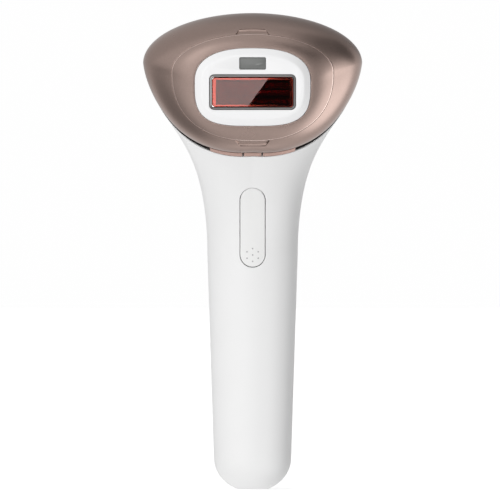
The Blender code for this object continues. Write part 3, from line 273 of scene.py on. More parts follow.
def end_skin(share, angle):
    first = math.asin(END_FLAT / (HANDLE_END_WIDTH / 2))
    turn = first + (math.pi / 2 - first) * share
    z = END_HEIGHT * (math.cos(first) - np.cos(turn)) / math.cos(first)
    return handle_skin(z, np.sin(turn), angle)


def body_skin(level, angle):
    """The body's outside.

    Level -1 is the rim round the socket, 0 the flat's edge, 1 to 2 the handle and 3 the edge at the head.
    """
    hole = SOCKET_RADIUS + CLEAR
    rim = np.column_stack([hole * np.cos(angle), hole * np.sin(angle), np.zeros_like(angle)])
    start = end_skin(np.zeros_like(level), angle)
    foot = rim + (start - rim) * (level[:, None] + 1)
    end = end_skin(np.clip(level, 0, 1), angle)
    straight = handle_skin(END_HEIGHT + (NECK_Z - END_HEIGHT) * (level - 1), 1.0, angle)
    neck = neck_skin(np.clip(level - 2, 0, 1), angle)
    level = level[:, None]
    return np.where(level < 0, foot, np.where(level < 1, end, np.where(level < 2, straight, neck)))


# ---------------------------------------------------------------- the head's crown
def edge_reach(z):
    share = (z - HEAD_LOW) / (HEAD_TOP - HEAD_LOW)
    return RING_REACH_LOW + (RING_REACH_TOP - RING_REACH_LOW) * share


SKIRT_REACH = SKIN_REACH - FRAME_PROUD


def crown_lines(angle):
    inner = np.column_stack(frame_outline(angle, FINE_GAP))
    seam = np.column_stack(seam_outline(angle))
    outer = np.column_stack(head_outline(angle))
    share = np.linalg.norm(seam - inner, axis=1) / np.linalg.norm(outer - inner, axis=1)
    return inner, seam, outer, share


def crown_depth(outer, share):
    rear = edge_reach(outer[:, 1])
    return -SKIRT_REACH + (SKIRT_REACH - rear) * (1 - np.sqrt(np.clip(1 - share * share, 0, None)))


def notch_sink(x, z):
    """How far the fingernail notches at the top and the bottom of the seam press the ring's skin in."""
    found = np.zeros_like(x)
    for seam_z, side in ((SEAM_TOP, 1), (SEAM_LOW, -1)):
        height = side * (z - seam_z)
        narrowing = (NOTCH_BASE - NOTCH_TIP) / 2 / NOTCH_HEIGHT
        from_side = NOTCH_BASE / 2 - narrowing * np.clip(height, 0, None) - np.abs(x)
        inside = np.minimum(from_side, NOTCH_HEIGHT - height)
        inside = np.where(height < -NOTCH_HEIGHT, -NOTCH_HEIGHT, inside)
        share = np.clip((inside + NOTCH_EDGE[0]) / NOTCH_EDGE[1], 0, 1)
        found = np.maximum(found, share * share * (3 - 2 * share) * NOTCH_DEPTH)
    return found


def seam_depth_at(angle):
    _, _, outer, seam_share = crown_lines(np.array([angle]))
    return crown_depth(outer, seam_share)[0]


SEAM_DEPTH = seam_depth_at(math.pi / 2)  # y of the seam at the top of the head
SLEEVE_END = SEAM_DEPTH + SLEEVE


def ring_skin(t, angle):
    """The fixed ring, from the seam at t = 0 to its rear edge at t = 1. Below 0 it is the sleeve inside."""
    _, seam, outer, seam_share = crown_lines(angle)
    start = np.arcsin(seam_share)
    share = np.sin(start + (np.pi / 2 - start) * np.clip(t, 0, 1))
    part = ((share - seam_share) / (1 - seam_share))[:, None]
    flat = seam + (outer - seam) * part
    depth = crown_depth(outer, share)
    depth = np.where(t < 0, depth + (SLEEVE_END - depth) * -t, depth)
    return np.column_stack([flat[:, 0], depth, flat[:, 1]])


def skirt_skin(t, angle):
    """The attachment's skirt, from its inner edge at t = 0 to the seam at t = 1, and on to its rear wall at 2."""
    inner, seam, outer, seam_share = crown_lines(angle)
    near = np.clip(t, 0, 1)
    share = np.sin(np.arcsin(seam_share) * near)
    flat = inner + (seam - inner) * (share / seam_share)[:, None]
    outwards = flat - np.array([0, WINDOW_Z])
    outwards /= np.linalg.norm(outwards, axis=1, keepdims=True)
    flat = flat - outwards * (SEAM_GAP * near)[:, None]
    depth = crown_depth(outer, share)
    rear = -(BASE_REACH - BASE_THICK)
    depth = np.where(t > 1, depth + (rear - depth) * (t - 1), depth)
    return np.column_stack([flat[:, 0], depth, flat[:, 1]])


def groove_skin(share, angle, inset):
    """The surface between the ring's rear edge at share = 0 and the body's front edge at share = 1."""
    part = share[:, None]
    front = RING_FRONT + (BODY_FRONT - RING_FRONT) * part
    back = RING_BACK + (BODY_BACK - RING_BACK) * part
    half_width = HEAD_WIDTH / 2 - VENT_INSET * share
    return section(angle, front, back, half_width, HEAD_WIDEST, 2.0, SHIELD, inset)


# ================================================================ laying and cutting skins
def numbers(work, name):
    layer = work.verts.layers.float.get(name)
    return np.array([v[layer] for v in work.verts])


def lay_sheet(surface, levels, angles, closed=True):
    """A grid on a surface. Its vertices remember their level and angle, so that a cut can follow the surface."""
    work = bmesh.new()
    level_layer = work.verts.layers.float.new("level")
    angle_layer = work.verts.layers.float.new("angle")
    rows = []
    for level in levels:
        places = surface(np.full(len(angles), float(level)), np.asarray(angles, float))
        row = []
        for place, angle in zip(places, angles):
            vert = work.verts.new(place)
            vert[level_layer] = level
            vert[angle_layer] = angle
            row.append(vert)
        rows.append(row)
    count = len(angles)
    for lower, upper in zip(rows, rows[1:]):
        for i in range(count if closed else count - 1):
            after = (i + 1) % count
            work.faces.new((lower[i], lower[after], upper[after], upper[i]))
    return work


def unturned(angle, beside):
    """The same angle, written within half a turn of another one."""
    return angle + TURN * np.round((beside - angle) / TURN)


def crossings(surface, field, start, end):
    """Where a field is zero between two sets of (level, angle): the share of the way, the set and the place."""
    low = np.zeros(len(start))
    high = np.ones(len(start))
    side = np.sign(field(surface(start[:, 0], start[:, 1])))
    for _ in range(22):
        middle = (low + high) / 2
        at = start + (end - start) * middle[:, None]
        same = np.sign(field(surface(at[:, 0], at[:, 1]))) == side
        low = np.where(same, middle, low)
        high = np.where(same, high, middle)
    at = start + (end - start) * high[:, None]
    return high, at, surface(at[:, 0], at[:, 1])


SNAP = 0.32  # a crossing nearer to a vertex than this share of its edge moves the vertex there


def carve(work, surface, field):
    """Cuts away the part of a sheet where the field is negative. The cut edge lies on the surface."""
    level_layer = work.verts.layers.float.get("level")
    angle_layer = work.verts.layers.float.get("angle")

    def crossed_edges(value):
        found = [e for e in work.edges if value[e.verts[0].index] * value[e.verts[1].index] < 0]
        if not found:
            return [], None, None, None
        start = np.array([(e.verts[0][level_layer], e.verts[0][angle_layer]) for e in found])
        end = np.array([(e.verts[1][level_layer], e.verts[1][angle_layer]) for e in found])
        end[:, 1] = unturned(end[:, 1], start[:, 1])
        return found, *crossings(surface, field, start, end)

    work.verts.index_update()
    work.verts.ensure_lookup_table()
    value = field(surface(numbers(work, "level"), numbers(work, "angle")))
    value[value == 0] = 1e-12
    edges, share, params, places = crossed_edges(value)
    best = {}
    for i, edge in enumerate(edges):
        length = edge.calc_length()
        for vert, part in ((edge.verts[0], share[i]), (edge.verts[1], 1 - share[i])):
            if part < SNAP and part * length < best.get(vert.index, (FAR,))[0]:
                best[vert.index] = (part * length, i)
    for index, (_, i) in best.items():
        vert = work.verts[index]
        vert.co = places[i]
        vert[level_layer] = params[i][0]
        vert[angle_layer] = params[i][1]
        value[index] = 0
    edges, share, params, places = crossed_edges(value)
    value = list(value)
    for i, edge in enumerate(edges):
        _, vert = bmesh.utils.edge_split(edge, edge.verts[0], float(share[i]))
        vert.co = places[i]
        vert[level_layer] = params[i][0]
        vert[angle_layer] = params[i][1]
        vert.index = len(value)
        value.append(0.0)
    for face in list(work.faces):
        split_face(face, value)
    gone = [f for f in work.faces if sum(np.sign(value[v.index]) for v in f.verts) < 0]
    bmesh.ops.delete(work, geom=gone, context="FACES")


def split_face(face, value):
    """Cuts a face along each run of its vertices that lies on the far side of the field."""
    while True:
        signs = [np.sign(value[v.index]) for v in face.verts]
        if min(signs) >= 0 or max(signs) <= 0:
            return
        count = len(signs)
        start = next(i for i in range(count) if signs[i] < 0 and signs[i - 1] >= 0)
        end = start
        while signs[end % count] < 0:
            end += 1
        before = face.verts[start - 1]
        after = face.verts[end % count]
        if before == after:
            return
        other, _ = bmesh.utils.face_split(face, before, after)
        pieces = (face, other)
        mixed = [p for p in pieces if {-1, 1} <= {int(np.sign(value[v.index])) for v in p.verts}]
        if not mixed:
            return
        face = mixed[0]


# ================================================================ making pieces
def added(name, data):
    """A new object in the scene."""
    made = bpy.data.objects.new(name, data)
    bpy.context.scene.collection.objects.link(made)
    return made


def object_from(work, name):
    """An object of a bmesh, moved from the handle's axis to its place."""
    bmesh.ops.translate(work, verts=work.verts, vec=(0, HANDLE_Y, 0))
    mesh = bpy.data.meshes.new(name)
    work.to_mesh(mesh)
    work.free()
    return added(name, mesh)


def settle(piece):
    """Turns a piece and its modifiers into a plain mesh."""
    graph = bpy.context.evaluated_depsgraph_get()
    graph.update()
    mesh = bpy.data.meshes.new_from_object(piece.evaluated_get(graph), depsgraph=graph)
    mesh.name = piece.name
    piece.modifiers.clear()
    piece.data = mesh
    return piece


def thicken(piece, wall, even=True):
    solid = piece.modifiers.new("wall", "SOLIDIFY")
    solid.thickness = wall
    solid.offset = -1
    solid.use_even_offset = even
    solid.use_quality_normals = even
    return piece


def soften(piece, width, segments=3, angle=50):
    bevel = piece.modifiers.new("edges", "BEVEL")
    bevel.width = width
    bevel.segments = segments
    bevel.limit_method = "ANGLE"
    bevel.angle_limit = math.radians(angle)
    bevel.harden_normals = True
    return piece


def cut(piece, tool, operation="DIFFERENCE"):
    """An exact Boolean with a tool that is then thrown away."""
    boolean = piece.modifiers.new("cut", "BOOLEAN")
    boolean.solver = "EXACT"
    boolean.operation = operation
    boolean.object = tool
    settle(piece)
    bpy.data.objects.remove(tool)
    return piece


def smooth(piece, angle=40):
    piece.data.shade_smooth()
    piece.data.set_sharp_from_angle(angle=math.radians(angle))
    return piece


def place(piece, material, body, slot, *nodes):
    """The piece's finish, the body it rides on, and the frame's nodes that it stands for."""
    if material:
        piece.data.materials.clear()
        piece.data.materials.append(material)
    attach(piece, body)
    if nodes:
        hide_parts(*nodes)
    return piece


def loft(rings, name, closed=False, cap_first=False, cap_last=False):
    """A skin over rings of points that have the same count."""
    work = bmesh.new()
    rows = [[work.verts.new(point) for point in ring] for ring in rings]
    if closed:
        rows.append(rows[0])
    count = len(rows[0])
    for lower, upper in zip(rows, rows[1:]):
        for i in range(count):
            after = (i + 1) % count
            work.faces.new((lower[i], lower[after], upper[after], upper[i]))
    if cap_first:
        work.faces.new(reversed(rows[0]))
    if cap_last:
        work.faces.new(rows[-1])
    bmesh.ops.recalc_face_normals(work, faces=work.faces)
    return object_from(work, name)


def at_depth(outline, y):
    x, z = outline
    return np.column_stack([x, np.full_like(x, y), z])


def prism(outline, name, front, back):
    """A straight block with an (x, z) outline between two depths."""
    return loft([at_depth(outline, front), at_depth(outline, back)], name, cap_first=True, cap_last=True)


def turned(profile, name, at, towards, steps=48):
    """A lathe shape: profile is (radius, distance) along the direction towards."""
    axis = Vector(towards).normalized()
    turn = Vector((0, 0, 1)).rotation_difference(axis).to_matrix()
    rings = []
    for radius, distance in profile:
        ring = []
        for i in range(steps):
            angle = TURN * i / steps
            local = Vector((radius * math.cos(angle), radius * math.sin(angle), distance))
            ring.append(Vector(at) + turn @ local)
        rings.append(ring)
    made = loft(rings, name, cap_first=profile[0][0] > 0, cap_last=profile[-1][0] > 0)
    work = bmesh.new()
    work.from_mesh(made.data)
    bmesh.ops.remove_doubles(work, verts=work.verts, dist=1e-7)
    work.to_mesh(made.data)
    work.free()
    return made


def rod(radius, name, start, end, steps=32):
    start = Vector(start)
    length = (Vector(end) - start).length
    return turned([(radius, 0), (radius, length)], name, start, Vector(end) - start, steps)


def block(name, low, high):
    x = np.array([low[0], high[0], high[0], low[0]])
    z = np.array([low[2], low[2], high[2], high[2]])
    return prism((x, z), name, low[1], high[1])


def stadium_distance(points, centre_x, low, high, radius):
    """Signed distance in x and z to an upright slot with round ends."""
    z = np.clip(points[:, 2], low + radius, high - radius)
    return np.hypot(points[:, 0] - centre_x, points[:, 2] - z) - radius


def bar_distance(points, half_x, low, high):
    """Signed distance to a level bar with round ends."""
    radius = (high - low) / 2
    x = np.clip(points[:, 0], radius - half_x, half_x - radius)
    return np.hypot(points[:, 0] - x, points[:, 2] - (low + high) / 2) - radius


def steps_through(*stops):
    """Rising numbers through the stops, which are (value, step up to the next one)."""
    values = []
    for (value, step), (after, _) in zip(stops, stops[1:]):
        count = max(1, round((after - value) / step))
        values += [value + (after - value) * i / count for i in range(count)]
    return values + [stops[-1][0]]


# ================================================================ finishes
def node(tree, kind, inputs=None, **settings):
    """A shader or geometry node with its settings, and its inputs as values or as sockets to link."""
    made = tree.nodes.new(kind)
    for key, value in settings.items():
        setattr(made, key, value)
    for key, value in (inputs or {}).items():
        if isinstance(value, bpy.types.NodeSocket):
            tree.links.new(value, made.inputs[key])
        else:
            made.inputs[key].default_value = value
    return made


def maths(tree, operation, *values):
    """One step of arithmetic on numbers or sockets."""
    return node(tree, "ShaderNodeMath", dict(enumerate(values)), operation=operation).outputs[0]


def spread(tree, value, low, high):
    """A value between 0 and 1 laid out between two others."""
    return node(tree, "ShaderNodeMapRange", {"Value": value, "To Min": low, "To Max": high}).outputs["Result"]


def speckle(tree, where, scale, detail=3.0, rough=0.5):
    """Even noise, with its middle part stretched to the whole range."""
    fog = node(tree, "ShaderNodeTexNoise", {"Vector": where, "Scale": scale, "Detail": detail, "Roughness": rough})
    stretch = {"Value": fog.outputs["Fac"], "From Min": 0.3, "From Max": 0.7}
    return node(tree, "ShaderNodeMapRange", stretch).outputs["Result"]


def blended(tree, share, first, second):
    made = node(tree, "ShaderNodeMix", data_type="RGBA")
    tree.links.new(share, made.inputs[0])
    for socket, colour in ((made.inputs[6], first), (made.inputs[7], second)):
        if isinstance(colour, bpy.types.NodeSocket):
            tree.links.new(colour, socket)
        else:
            socket.default_value = (*colour, 1.0)
    return made.outputs[2]


def bumps(tree, shader, height, depth):
    made = node(tree, "ShaderNodeBump", {"Height": height, "Distance": depth, "Strength": 1.0})
    tree.links.new(made.outputs["Normal"], shader.inputs["Normal"])


def material_of(name, colour, roughness, metallic=0.0, **sockets):
    """A new material with its principled shader, and the place it is read at."""
    material = bpy.data.materials.new(name)
    material.use_nodes = True
    material.diffuse_color = (*colour, 1.0)
    tree = material.node_tree
    shader = tree.nodes["Principled BSDF"]
    shader.inputs["Base Color"].default_value = (*colour, 1.0)
    shader.inputs["Roughness"].default_value = roughness
    shader.inputs["Metallic"].default_value = metallic
    for key, value in sockets.items():
        shader.inputs[key.replace("_", " ")].default_value = value
    where = node(tree, "ShaderNodeTexCoord").outputs["Object"]
    return material, tree, shader, where


def moulded(name, colour, roughness, grain=1400.0, depth=0.02 * MM, shift=0.04, vary=0.05, **sockets):
    """A finish with a fine grain, a slow drift of gloss and a slight drift of colour."""
    material, tree, shader, where = material_of(name, colour, roughness, **sockets)
    slow = speckle(tree, where, 60.0)
    fine = speckle(tree, where, grain)
    darker = tuple(c * (1 - shift) for c in colour)
    lighter = tuple(min(1.0, c * (1 + shift)) for c in colour)
    tree.links.new(blended(tree, slow, darker, lighter), shader.inputs["Base Color"])
    half = maths(tree, "MULTIPLY", maths(tree, "ADD", slow, fine), 0.5)
    tree.links.new(spread(tree, half, roughness - vary, roughness + vary), shader.inputs["Roughness"])
    bumps(tree, shader, fine, depth)
    return material


def bronze_lacquer():
    """Satin metallic lacquer: small flakes of two tones under a smooth clear coat."""
    base = (0.353, 0.263, 0.232)
    lacquer = {"Coat_Weight": 0.12, "Coat_Roughness": 0.15, "Coat_IOR": 1.5}
    material, tree, shader, where = material_of("rose_bronze_lacquer", base, 0.3, 1.0, **lacquer)
    flakes = node(tree, "ShaderNodeTexVoronoi", {"Vector": where, "Scale": 5200.0})
    glint = node(tree, "ShaderNodeSeparateColor", {"Color": flakes.outputs["Color"]}).outputs["Red"]
    slow = speckle(tree, where, 90.0)
    darker = tuple(c * 0.94 for c in base)
    lighter = tuple(c * 1.06 for c in base)
    tree.links.new(blended(tree, glint, darker, lighter), shader.inputs["Base Color"])
    tree.links.new(spread(tree, slow, 0.27, 0.33), shader.inputs["Roughness"])
    bumps(tree, shader, glint, 0.002 * MM)
    return material


def tinted_glass(name, colour, roughness=0.004, depth=0.00002 * MM):
    """Clear or dyed glass with a faint haze."""
    material, tree, shader, where = material_of(name, colour, roughness, Transmission_Weight=1.0, IOR=1.5)
    haze = speckle(tree, where, 220.0)
    tree.links.new(spread(tree, haze, roughness * 0.6, roughness * 1.4), shader.inputs["Roughness"])
    bumps(tree, shader, haze, depth)
    return material


def brushed(name, colour, roughness, along="X", metallic=1.0, depth=0.002 * MM):
    """Metal with fine lines along one axis."""
    material, tree, shader, where = material_of(name, colour, roughness, metallic)
    scale = {"X": (60, 2600, 2600), "Y": (2600, 60, 2600)}[along]
    drawn = node(tree, "ShaderNodeMapping", {"Vector": where, "Scale": scale}).outputs["Vector"]
    lines = speckle(tree, drawn, 1.0, 2.0)
    slow = speckle(tree, where, 120.0)
    darker = tuple(c * 0.93 for c in colour)
    tree.links.new(blended(tree, slow, darker, colour), shader.inputs["Base Color"])
    tree.links.new(spread(tree, lines, roughness * 0.8, roughness * 1.25), shader.inputs["Roughness"])
    bumps(tree, shader, lines, depth)
    return material


MARK_LINE = 0.22 * MM  # half width of a printed line
POWER_RING = 1.7 * MM  # radius of the power sign
POWER_GAP = 0.7 * MM
POWER_BAR = (0.2 * MM, 2.1 * MM)
PLUS_REACH = 1.6 * MM


def marked_button(name, centre_z, mark):
    """White plastic with a grey mark printed in the middle of a round button: a power sign or a plus."""
    material, tree, shader, where = material_of(name, (0.8, 0.8, 0.79), 0.3)

    def step(operation, *values):
        return maths(tree, operation, *values)

    parts = node(tree, "ShaderNodeSeparateXYZ", {"Vector": where})
    across = step("ABSOLUTE", parts.outputs["X"])
    up = step("SUBTRACT", parts.outputs["Z"], centre_z)
    upright = step("LESS_THAN", across, MARK_LINE)
    if mark == "power":
        reach = step("SQRT", step("ADD", step("MULTIPLY", across, across), step("MULTIPLY", up, up)))
        ring = step("LESS_THAN", step("ABSOLUTE", step("SUBTRACT", reach, POWER_RING)), MARK_LINE)
        gap = step("MULTIPLY", step("LESS_THAN", across, POWER_GAP), step("GREATER_THAN", up, 0.0))
        ring = step("MULTIPLY", ring, step("SUBTRACT", 1.0, gap))
        low, high = POWER_BAR
        beside = step("MULTIPLY", step("GREATER_THAN", up, low), step("LESS_THAN", up, high))
        ink = step("MAXIMUM", ring, step("MULTIPLY", upright, beside))
    else:
        level = step("LESS_THAN", step("ABSOLUTE", up), MARK_LINE)
        inside = step("LESS_THAN", step("MAXIMUM", across, step("ABSOLUTE", up)), PLUS_REACH)
        ink = step("MULTIPLY", step("MAXIMUM", level, upright), inside)
    fine = speckle(tree, where, 1400.0)
    plain = blended(tree, fine, (0.79, 0.79, 0.78), (0.81, 0.81, 0.8))
    tree.links.new(blended(tree, ink, plain, (0.17, 0.17, 0.18)), shader.inputs["Base Color"])
    tree.links.new(spread(tree, ink, 0.3, 0.5), shader.inputs["Roughness"])
    bumps(tree, shader, fine, 0.006 * MM)
    return material


WHITE = moulded("satin_white_plastic", (0.80, 0.80, 0.80), 0.34, 900.0, 0.004 * MM, 0.006, 0.03)
FRAME_WHITE = moulded("gloss_white_plastic", (0.84, 0.84, 0.845), 0.24, 900.0, 0.003 * MM, 0.005, 0.03)
BUTTON_WHITE = moulded("button_white_plastic", (0.79, 0.79, 0.785), 0.36, 1100.0, 0.006 * MM, 0.008, 0.03)
DOT_GREY = moulded("printed_grey_dots", (0.42, 0.42, 0.42), 0.45, 1500.0, 0.004 * MM)
BRONZE = bronze_lacquer()
# A lighter metal for the skirt's edge bevel: partly a bare chamfer, partly painted highlight where the edge
# catches light from above.
EDGE_HIGHLIGHT = brushed("bright_turned_edge", (0.86, 0.7, 0.64), 0.4, "X")
COPPER = brushed("copper_trim_metal", (0.56, 0.37, 0.32), 0.3, "X")
BLACK = moulded("black_engineering_plastic", (0.018, 0.018, 0.02), 0.5, 700.0, 0.03 * MM, 0.15, 0.08)
# Vent plastic darker than BLACK, with its reflection turned down: the plastic's own black and painted shade in the
# vent groove.
VENT_BLACK_AND_SHADE = moulded(
    "dark_vent_plastic", (0.012, 0.01, 0.01), 0.6, 700.0, 0.03 * MM, 0.12, 0.08, Specular_IOR_Level=0.15
)
# The seal's metal, and a darker copy of it for the faces that look forwards: painted shade on the seal's flat
# front.
SEAL = brushed("satin_seal_metal", (0.36, 0.35, 0.345), 0.34, "X", 0.9)
SEAL_FACE_SHADE = brushed("dark_seal_face", (0.12, 0.118, 0.115), 0.36, "X", 0.9)
RED_GLASS = tinted_glass("red_filter_glass", (0.5, 0.17, 0.13))
REAR_FILTER = tinted_glass("rear_filter_glass", (0.42, 0.02, 0.014))
DUCT_RIM = brushed("bright_duct_rim", (0.9, 0.88, 0.87), 0.03, "X", 1.0, 0.00002 * MM)
# Near-black duct walls with their reflection turned down: painted shade inside the window.
DUCT_WALL_SHADE = moulded(
    "dark_duct_lining", (0.02, 0.012, 0.012), 0.5, 700.0, 0.02 * MM, 0.1, 0.1, Specular_IOR_Level=0.2
)
LAMP_GLASS = tinted_glass("clear_lamp_glass", (0.93, 0.95, 0.96), 0.03, 0.0004 * MM)
GUIDE_CLEAR = moulded(
    "milky_light_guide", (0.78, 0.8, 0.82), 0.25, 800.0, 0.003 * MM, Transmission_Weight=0.6, IOR=1.49
)
SENSOR_GLASS = moulded("smoked_sensor_window", (0.15, 0.155, 0.15), 0.12, 300.0, 0.001 * MM, 0.06, 0.03)
MIRROR = brushed("bright_mirror_aluminium", (0.86, 0.86, 0.87), 0.12, "X")
STEEL = brushed("drawn_steel", (0.6, 0.6, 0.61), 0.28, "Y")
GOLD = brushed("gold_plated_contact", (0.83, 0.6, 0.28), 0.25, "X")
FERRITE = moulded("dark_ferrite", (0.05, 0.048, 0.046), 0.65, 500.0, 0.05 * MM, 0.2)
CAN_BLACK = moulded("black_shrink_sleeve", (0.03, 0.03, 0.034), 0.35, 350.0, 0.02 * MM, 0.12)
CELL_BLUE = moulded("blue_cell_sleeve", (0.05, 0.16, 0.36), 0.32, 350.0, 0.02 * MM, 0.08)


PAD_PITCH = 1.27 * MM
PAD_SIZE = 0.2  # radius of a pad, as a share of the pitch


def circuit_board():
    """Green solder mask with a faint grid of tracks and pads."""
    material, tree, shader, where = material_of("green_circuit_board", (0.03, 0.16, 0.08), 0.35)
    pads = node(tree, "ShaderNodeTexVoronoi", {"Vector": where, "Scale": 1 / PAD_PITCH, "Randomness": 0.35})
    pad = maths(tree, "LESS_THAN", pads.outputs["Distance"], PAD_SIZE)
    tracks = node(tree, "ShaderNodeTexBrick", {"Vector": where, "Scale": 0.4 / PAD_PITCH, "Mortar Size": 0.03})
    mask = blended(tree, tracks.outputs["Fac"], (0.02, 0.13, 0.06), (0.05, 0.22, 0.1))
    tree.links.new(blended(tree, pad, mask, (0.55, 0.52, 0.48)), shader.inputs["Base Color"])
    tree.links.new(spread(tree, pad, 0.4, 0.25), shader.inputs["Roughness"])
    bumps(tree, shader, pad, 0.03 * MM)
    return material


BOARD_GREEN = circuit_board()


# ================================================================ shells of the body
def gathered(count, start, centre, reach, extra):
    """Angles of one turn from start on, closer together within reach of a centre."""
    fine = np.linspace(start, start + TURN, 4001)
    off = (fine - centre + math.pi) % TURN - math.pi
    density = 1 + extra / (1 + np.exp((np.abs(off) - reach) / (0.15 * reach)))
    total = np.concatenate([[0], np.cumsum((density[1:] + density[:-1]) / 2)])
    return np.interp(np.arange(count) / count * total[-1], total, fine)


def level_at(curve, heights):
    """The neck levels at which one of its two side curves passes some heights."""
    t = np.linspace(0, 1, 2001)
    return 2 + np.interp(heights, bezier(curve, t)[:, 1], t)


def body_levels(curve, *stops):
    """Levels of the whole body, with the neck's rows set by heights on one of its side curves."""
    handle = steps_through((END_HEIGHT, 1.6 * MM), (BUTTON_LOW - 2 * MM, 0.55 * MM), (NECK_Z, 0))
    handle = [1 + (z - END_HEIGHT) / (NECK_Z - END_HEIGHT) for z in handle]
    neck = level_at(curve, np.array(steps_through(*stops)))
    return [*steps_through((-1, 0.34), (0, 0.07), (1, 0))[:-1], *handle[:-1], *neck[:-1], 3.0]


def finish_skin(work, name, wall, edge, *finish):
    """Gives a sheet its wall and its softened edges, and puts it in its place."""
    piece = soften(thicken(object_from(work, name), wall), edge)
    place(smooth(settle(piece)), *finish)


def round_hole(x, z, radius):
    """A field that is negative inside a round hole through the body's skin."""
    return lambda points: stadium_distance(points, x, z - radius, z + radius, radius)


SHELL_EDGE = 0.14 * MM
BAND_EDGE = 0.12 * MM


def front_shell():
    top = BODY_FRONT[1]
    levels = body_levels(FRONT_CURVE, (NECK_Z, 0.55 * MM), (BUTTON_TOP + 2 * MM, 0.6 * MM), (top, 0))
    work = lay_sheet(body_skin, levels, gathered(168, math.pi / 2, -math.pi / 2, 0.42, 1.6))
    carve(work, body_skin, lambda points: -SPLIT - points[:, 1])
    low = BUTTON_LOW - CLEAR
    high = BUTTON_TOP + CLEAR

    def button_hole(points):
        around = stadium_distance(points, 0, low, high, BUTTON_WIDTH / 2 + CLEAR)
        return np.maximum(around, points[:, 1] + 6 * MM)

    carve(work, body_skin, button_hole)
    finish_skin(work, "handle_front_shell", WALL, SHELL_EDGE, WHITE, "body", "white_gloss", "front_shell")


def rear_shell():
    stops = ((NECK_Z, 1.2 * MM), (POWER_Z - 7 * MM, 0.5 * MM), (SLOT_LOW - 1 * MM, 0.32 * MM))
    levels = body_levels(BACK_CURVE, *stops, (SLOT_LOW + 19 * MM, 0.8 * MM), (BODY_BACK[1] - 0.5 * MM, 0))
    work = lay_sheet(body_skin, levels, gathered(190, -math.pi / 2, math.pi / 2, 0.5, 2.2))
    carve(work, body_skin, lambda points: points[:, 1] - SPLIT)
    for z in (POWER_Z, INTENSITY_Z):
        carve(work, body_skin, round_hole(0, z, REAR_BUTTON_RADIUS + CLEAR))
    for i in range(PIP_COUNT):
        x = PIP_PITCH * (i - (PIP_COUNT - 1) / 2)
        carve(work, body_skin, round_hole(x, PIP_Z, PIP_RADIUS + CLEAR))
    for i in range(SLOT_COUNT):
        z = SLOT_LOW + i * SLOT_PITCH
        half = (SLOT_WIDTH - i * SLOT_STEP) / 2
        carve(work, body_skin, lambda points: bar_distance(points, half, z, z + SLOT_HEIGHT))
    finish_skin(work, "handle_rear_shell", WALL, SHELL_EDGE, WHITE, "body", "white_gloss", "rear_shell")


# ================================================================ head
def even_turn(count):
    """Even angles of one turn."""
    return np.linspace(0, TURN, count, endpoint=False)


RING_COLUMNS = 330


def ring_columns():
    """Angles of the ring, close together at its two notches."""
    even = even_turn(2000)
    off = np.abs(np.abs(even - math.pi) - math.pi / 2)
    total = np.cumsum(1 + 4.5 / (1 + np.exp((off - 0.22) / 0.02)))
    return np.interp(np.arange(RING_COLUMNS) / RING_COLUMNS * total[-1], total, even)


def press_notches(ring, levels, angles):
    """Presses the two notches into the outer skin, which is the first sheet of the ring's vertices."""
    places = np.empty(len(ring.data.vertices) * 3)
    ring.data.vertices.foreach_get("co", places)
    places = places.reshape(-1, 3)
    sheet = places[: len(levels) * len(angles)]
    along_sleeve = 1 + np.clip(np.repeat(levels, len(angles)), None, 0)
    sheet[:, 1] += notch_sink(sheet[:, 0], sheet[:, 2]) * along_sleeve
    ring.data.vertices.foreach_set("co", places.ravel())


def head_ring():
    crown = steps_through((0, 0.018), (0.3, 0.05), (1, 0))
    levels = [*reversed(crown), *(-share for share in (0.3, 0.65, 1.0))]
    angles = ring_columns()
    sheet = object_from(lay_sheet(ring_skin, levels, angles), "bronze_head_ring")
    ring = settle(thicken(sheet, RING_WALL, even=False))
    press_notches(ring, levels, angles)
    soften(ring, SHELL_EDGE, 3, 60)
    place(smooth(settle(ring), 50), BRONZE, "body", "bronze_satin", "head_ring")


def attachment_skirt():
    levels = [2.0, 1.66, 1.33, *steps_through((1 / 16, 1 / 16), (1, 0))[::-1], 0.0]
    work = lay_sheet(skirt_skin, levels, even_turn(200))
    skirt = soften(thicken(object_from(work, "attachment_skirt_shell"), SKIRT_WALL), 0.3 * MM, 3, 60)
    # The bevel's faces take the second material: painted highlight along the skirt's edge, partly a bare chamfer.
    skirt.data.materials.append(BRONZE)
    skirt.data.materials.append(EDGE_HIGHLIGHT)
    skirt.modifiers["edges"].material = 1
    place(smooth(settle(skirt), 50), None, "attachment", "bronze_satin", "attachment_skirt")


def vent_collar():
    """The groove band in near-black, partly the vent's own dark plastic and partly painted shade of the groove.
    Its rear lip turns outwards, ahead of the body's edge and under the trim.
    """

    def surface(level, angle):
        turned_out = np.clip(level - LIP_SHARE, 0, 1)
        share = np.clip(level, None, LIP_SHARE)
        x = groove_skin(share, angle, 0.0)[:, 0]
        under_trim = (np.abs(x) < TRIM_HALF + CLEAR) & (np.sin(angle) < 0)
        rise = np.where(under_trim, TRIM_WALL + CLEAR, 0.15 * MM)
        return groove_skin(share, angle, GROOVE + (rise - GROOVE) * turned_out)

    levels = [LIP_SHARE + step for step in (1, 0.75, 0.5, 0.25)] + list(np.linspace(LIP_SHARE, -0.2, 6))
    work = lay_sheet(surface, levels, even_turn(440))
    finish_skin(work, "vent_collar_band", LIP_WALL, BAND_EDGE, VENT_BLACK_AND_SHADE, "body", "black_plastic", "vent_collar")


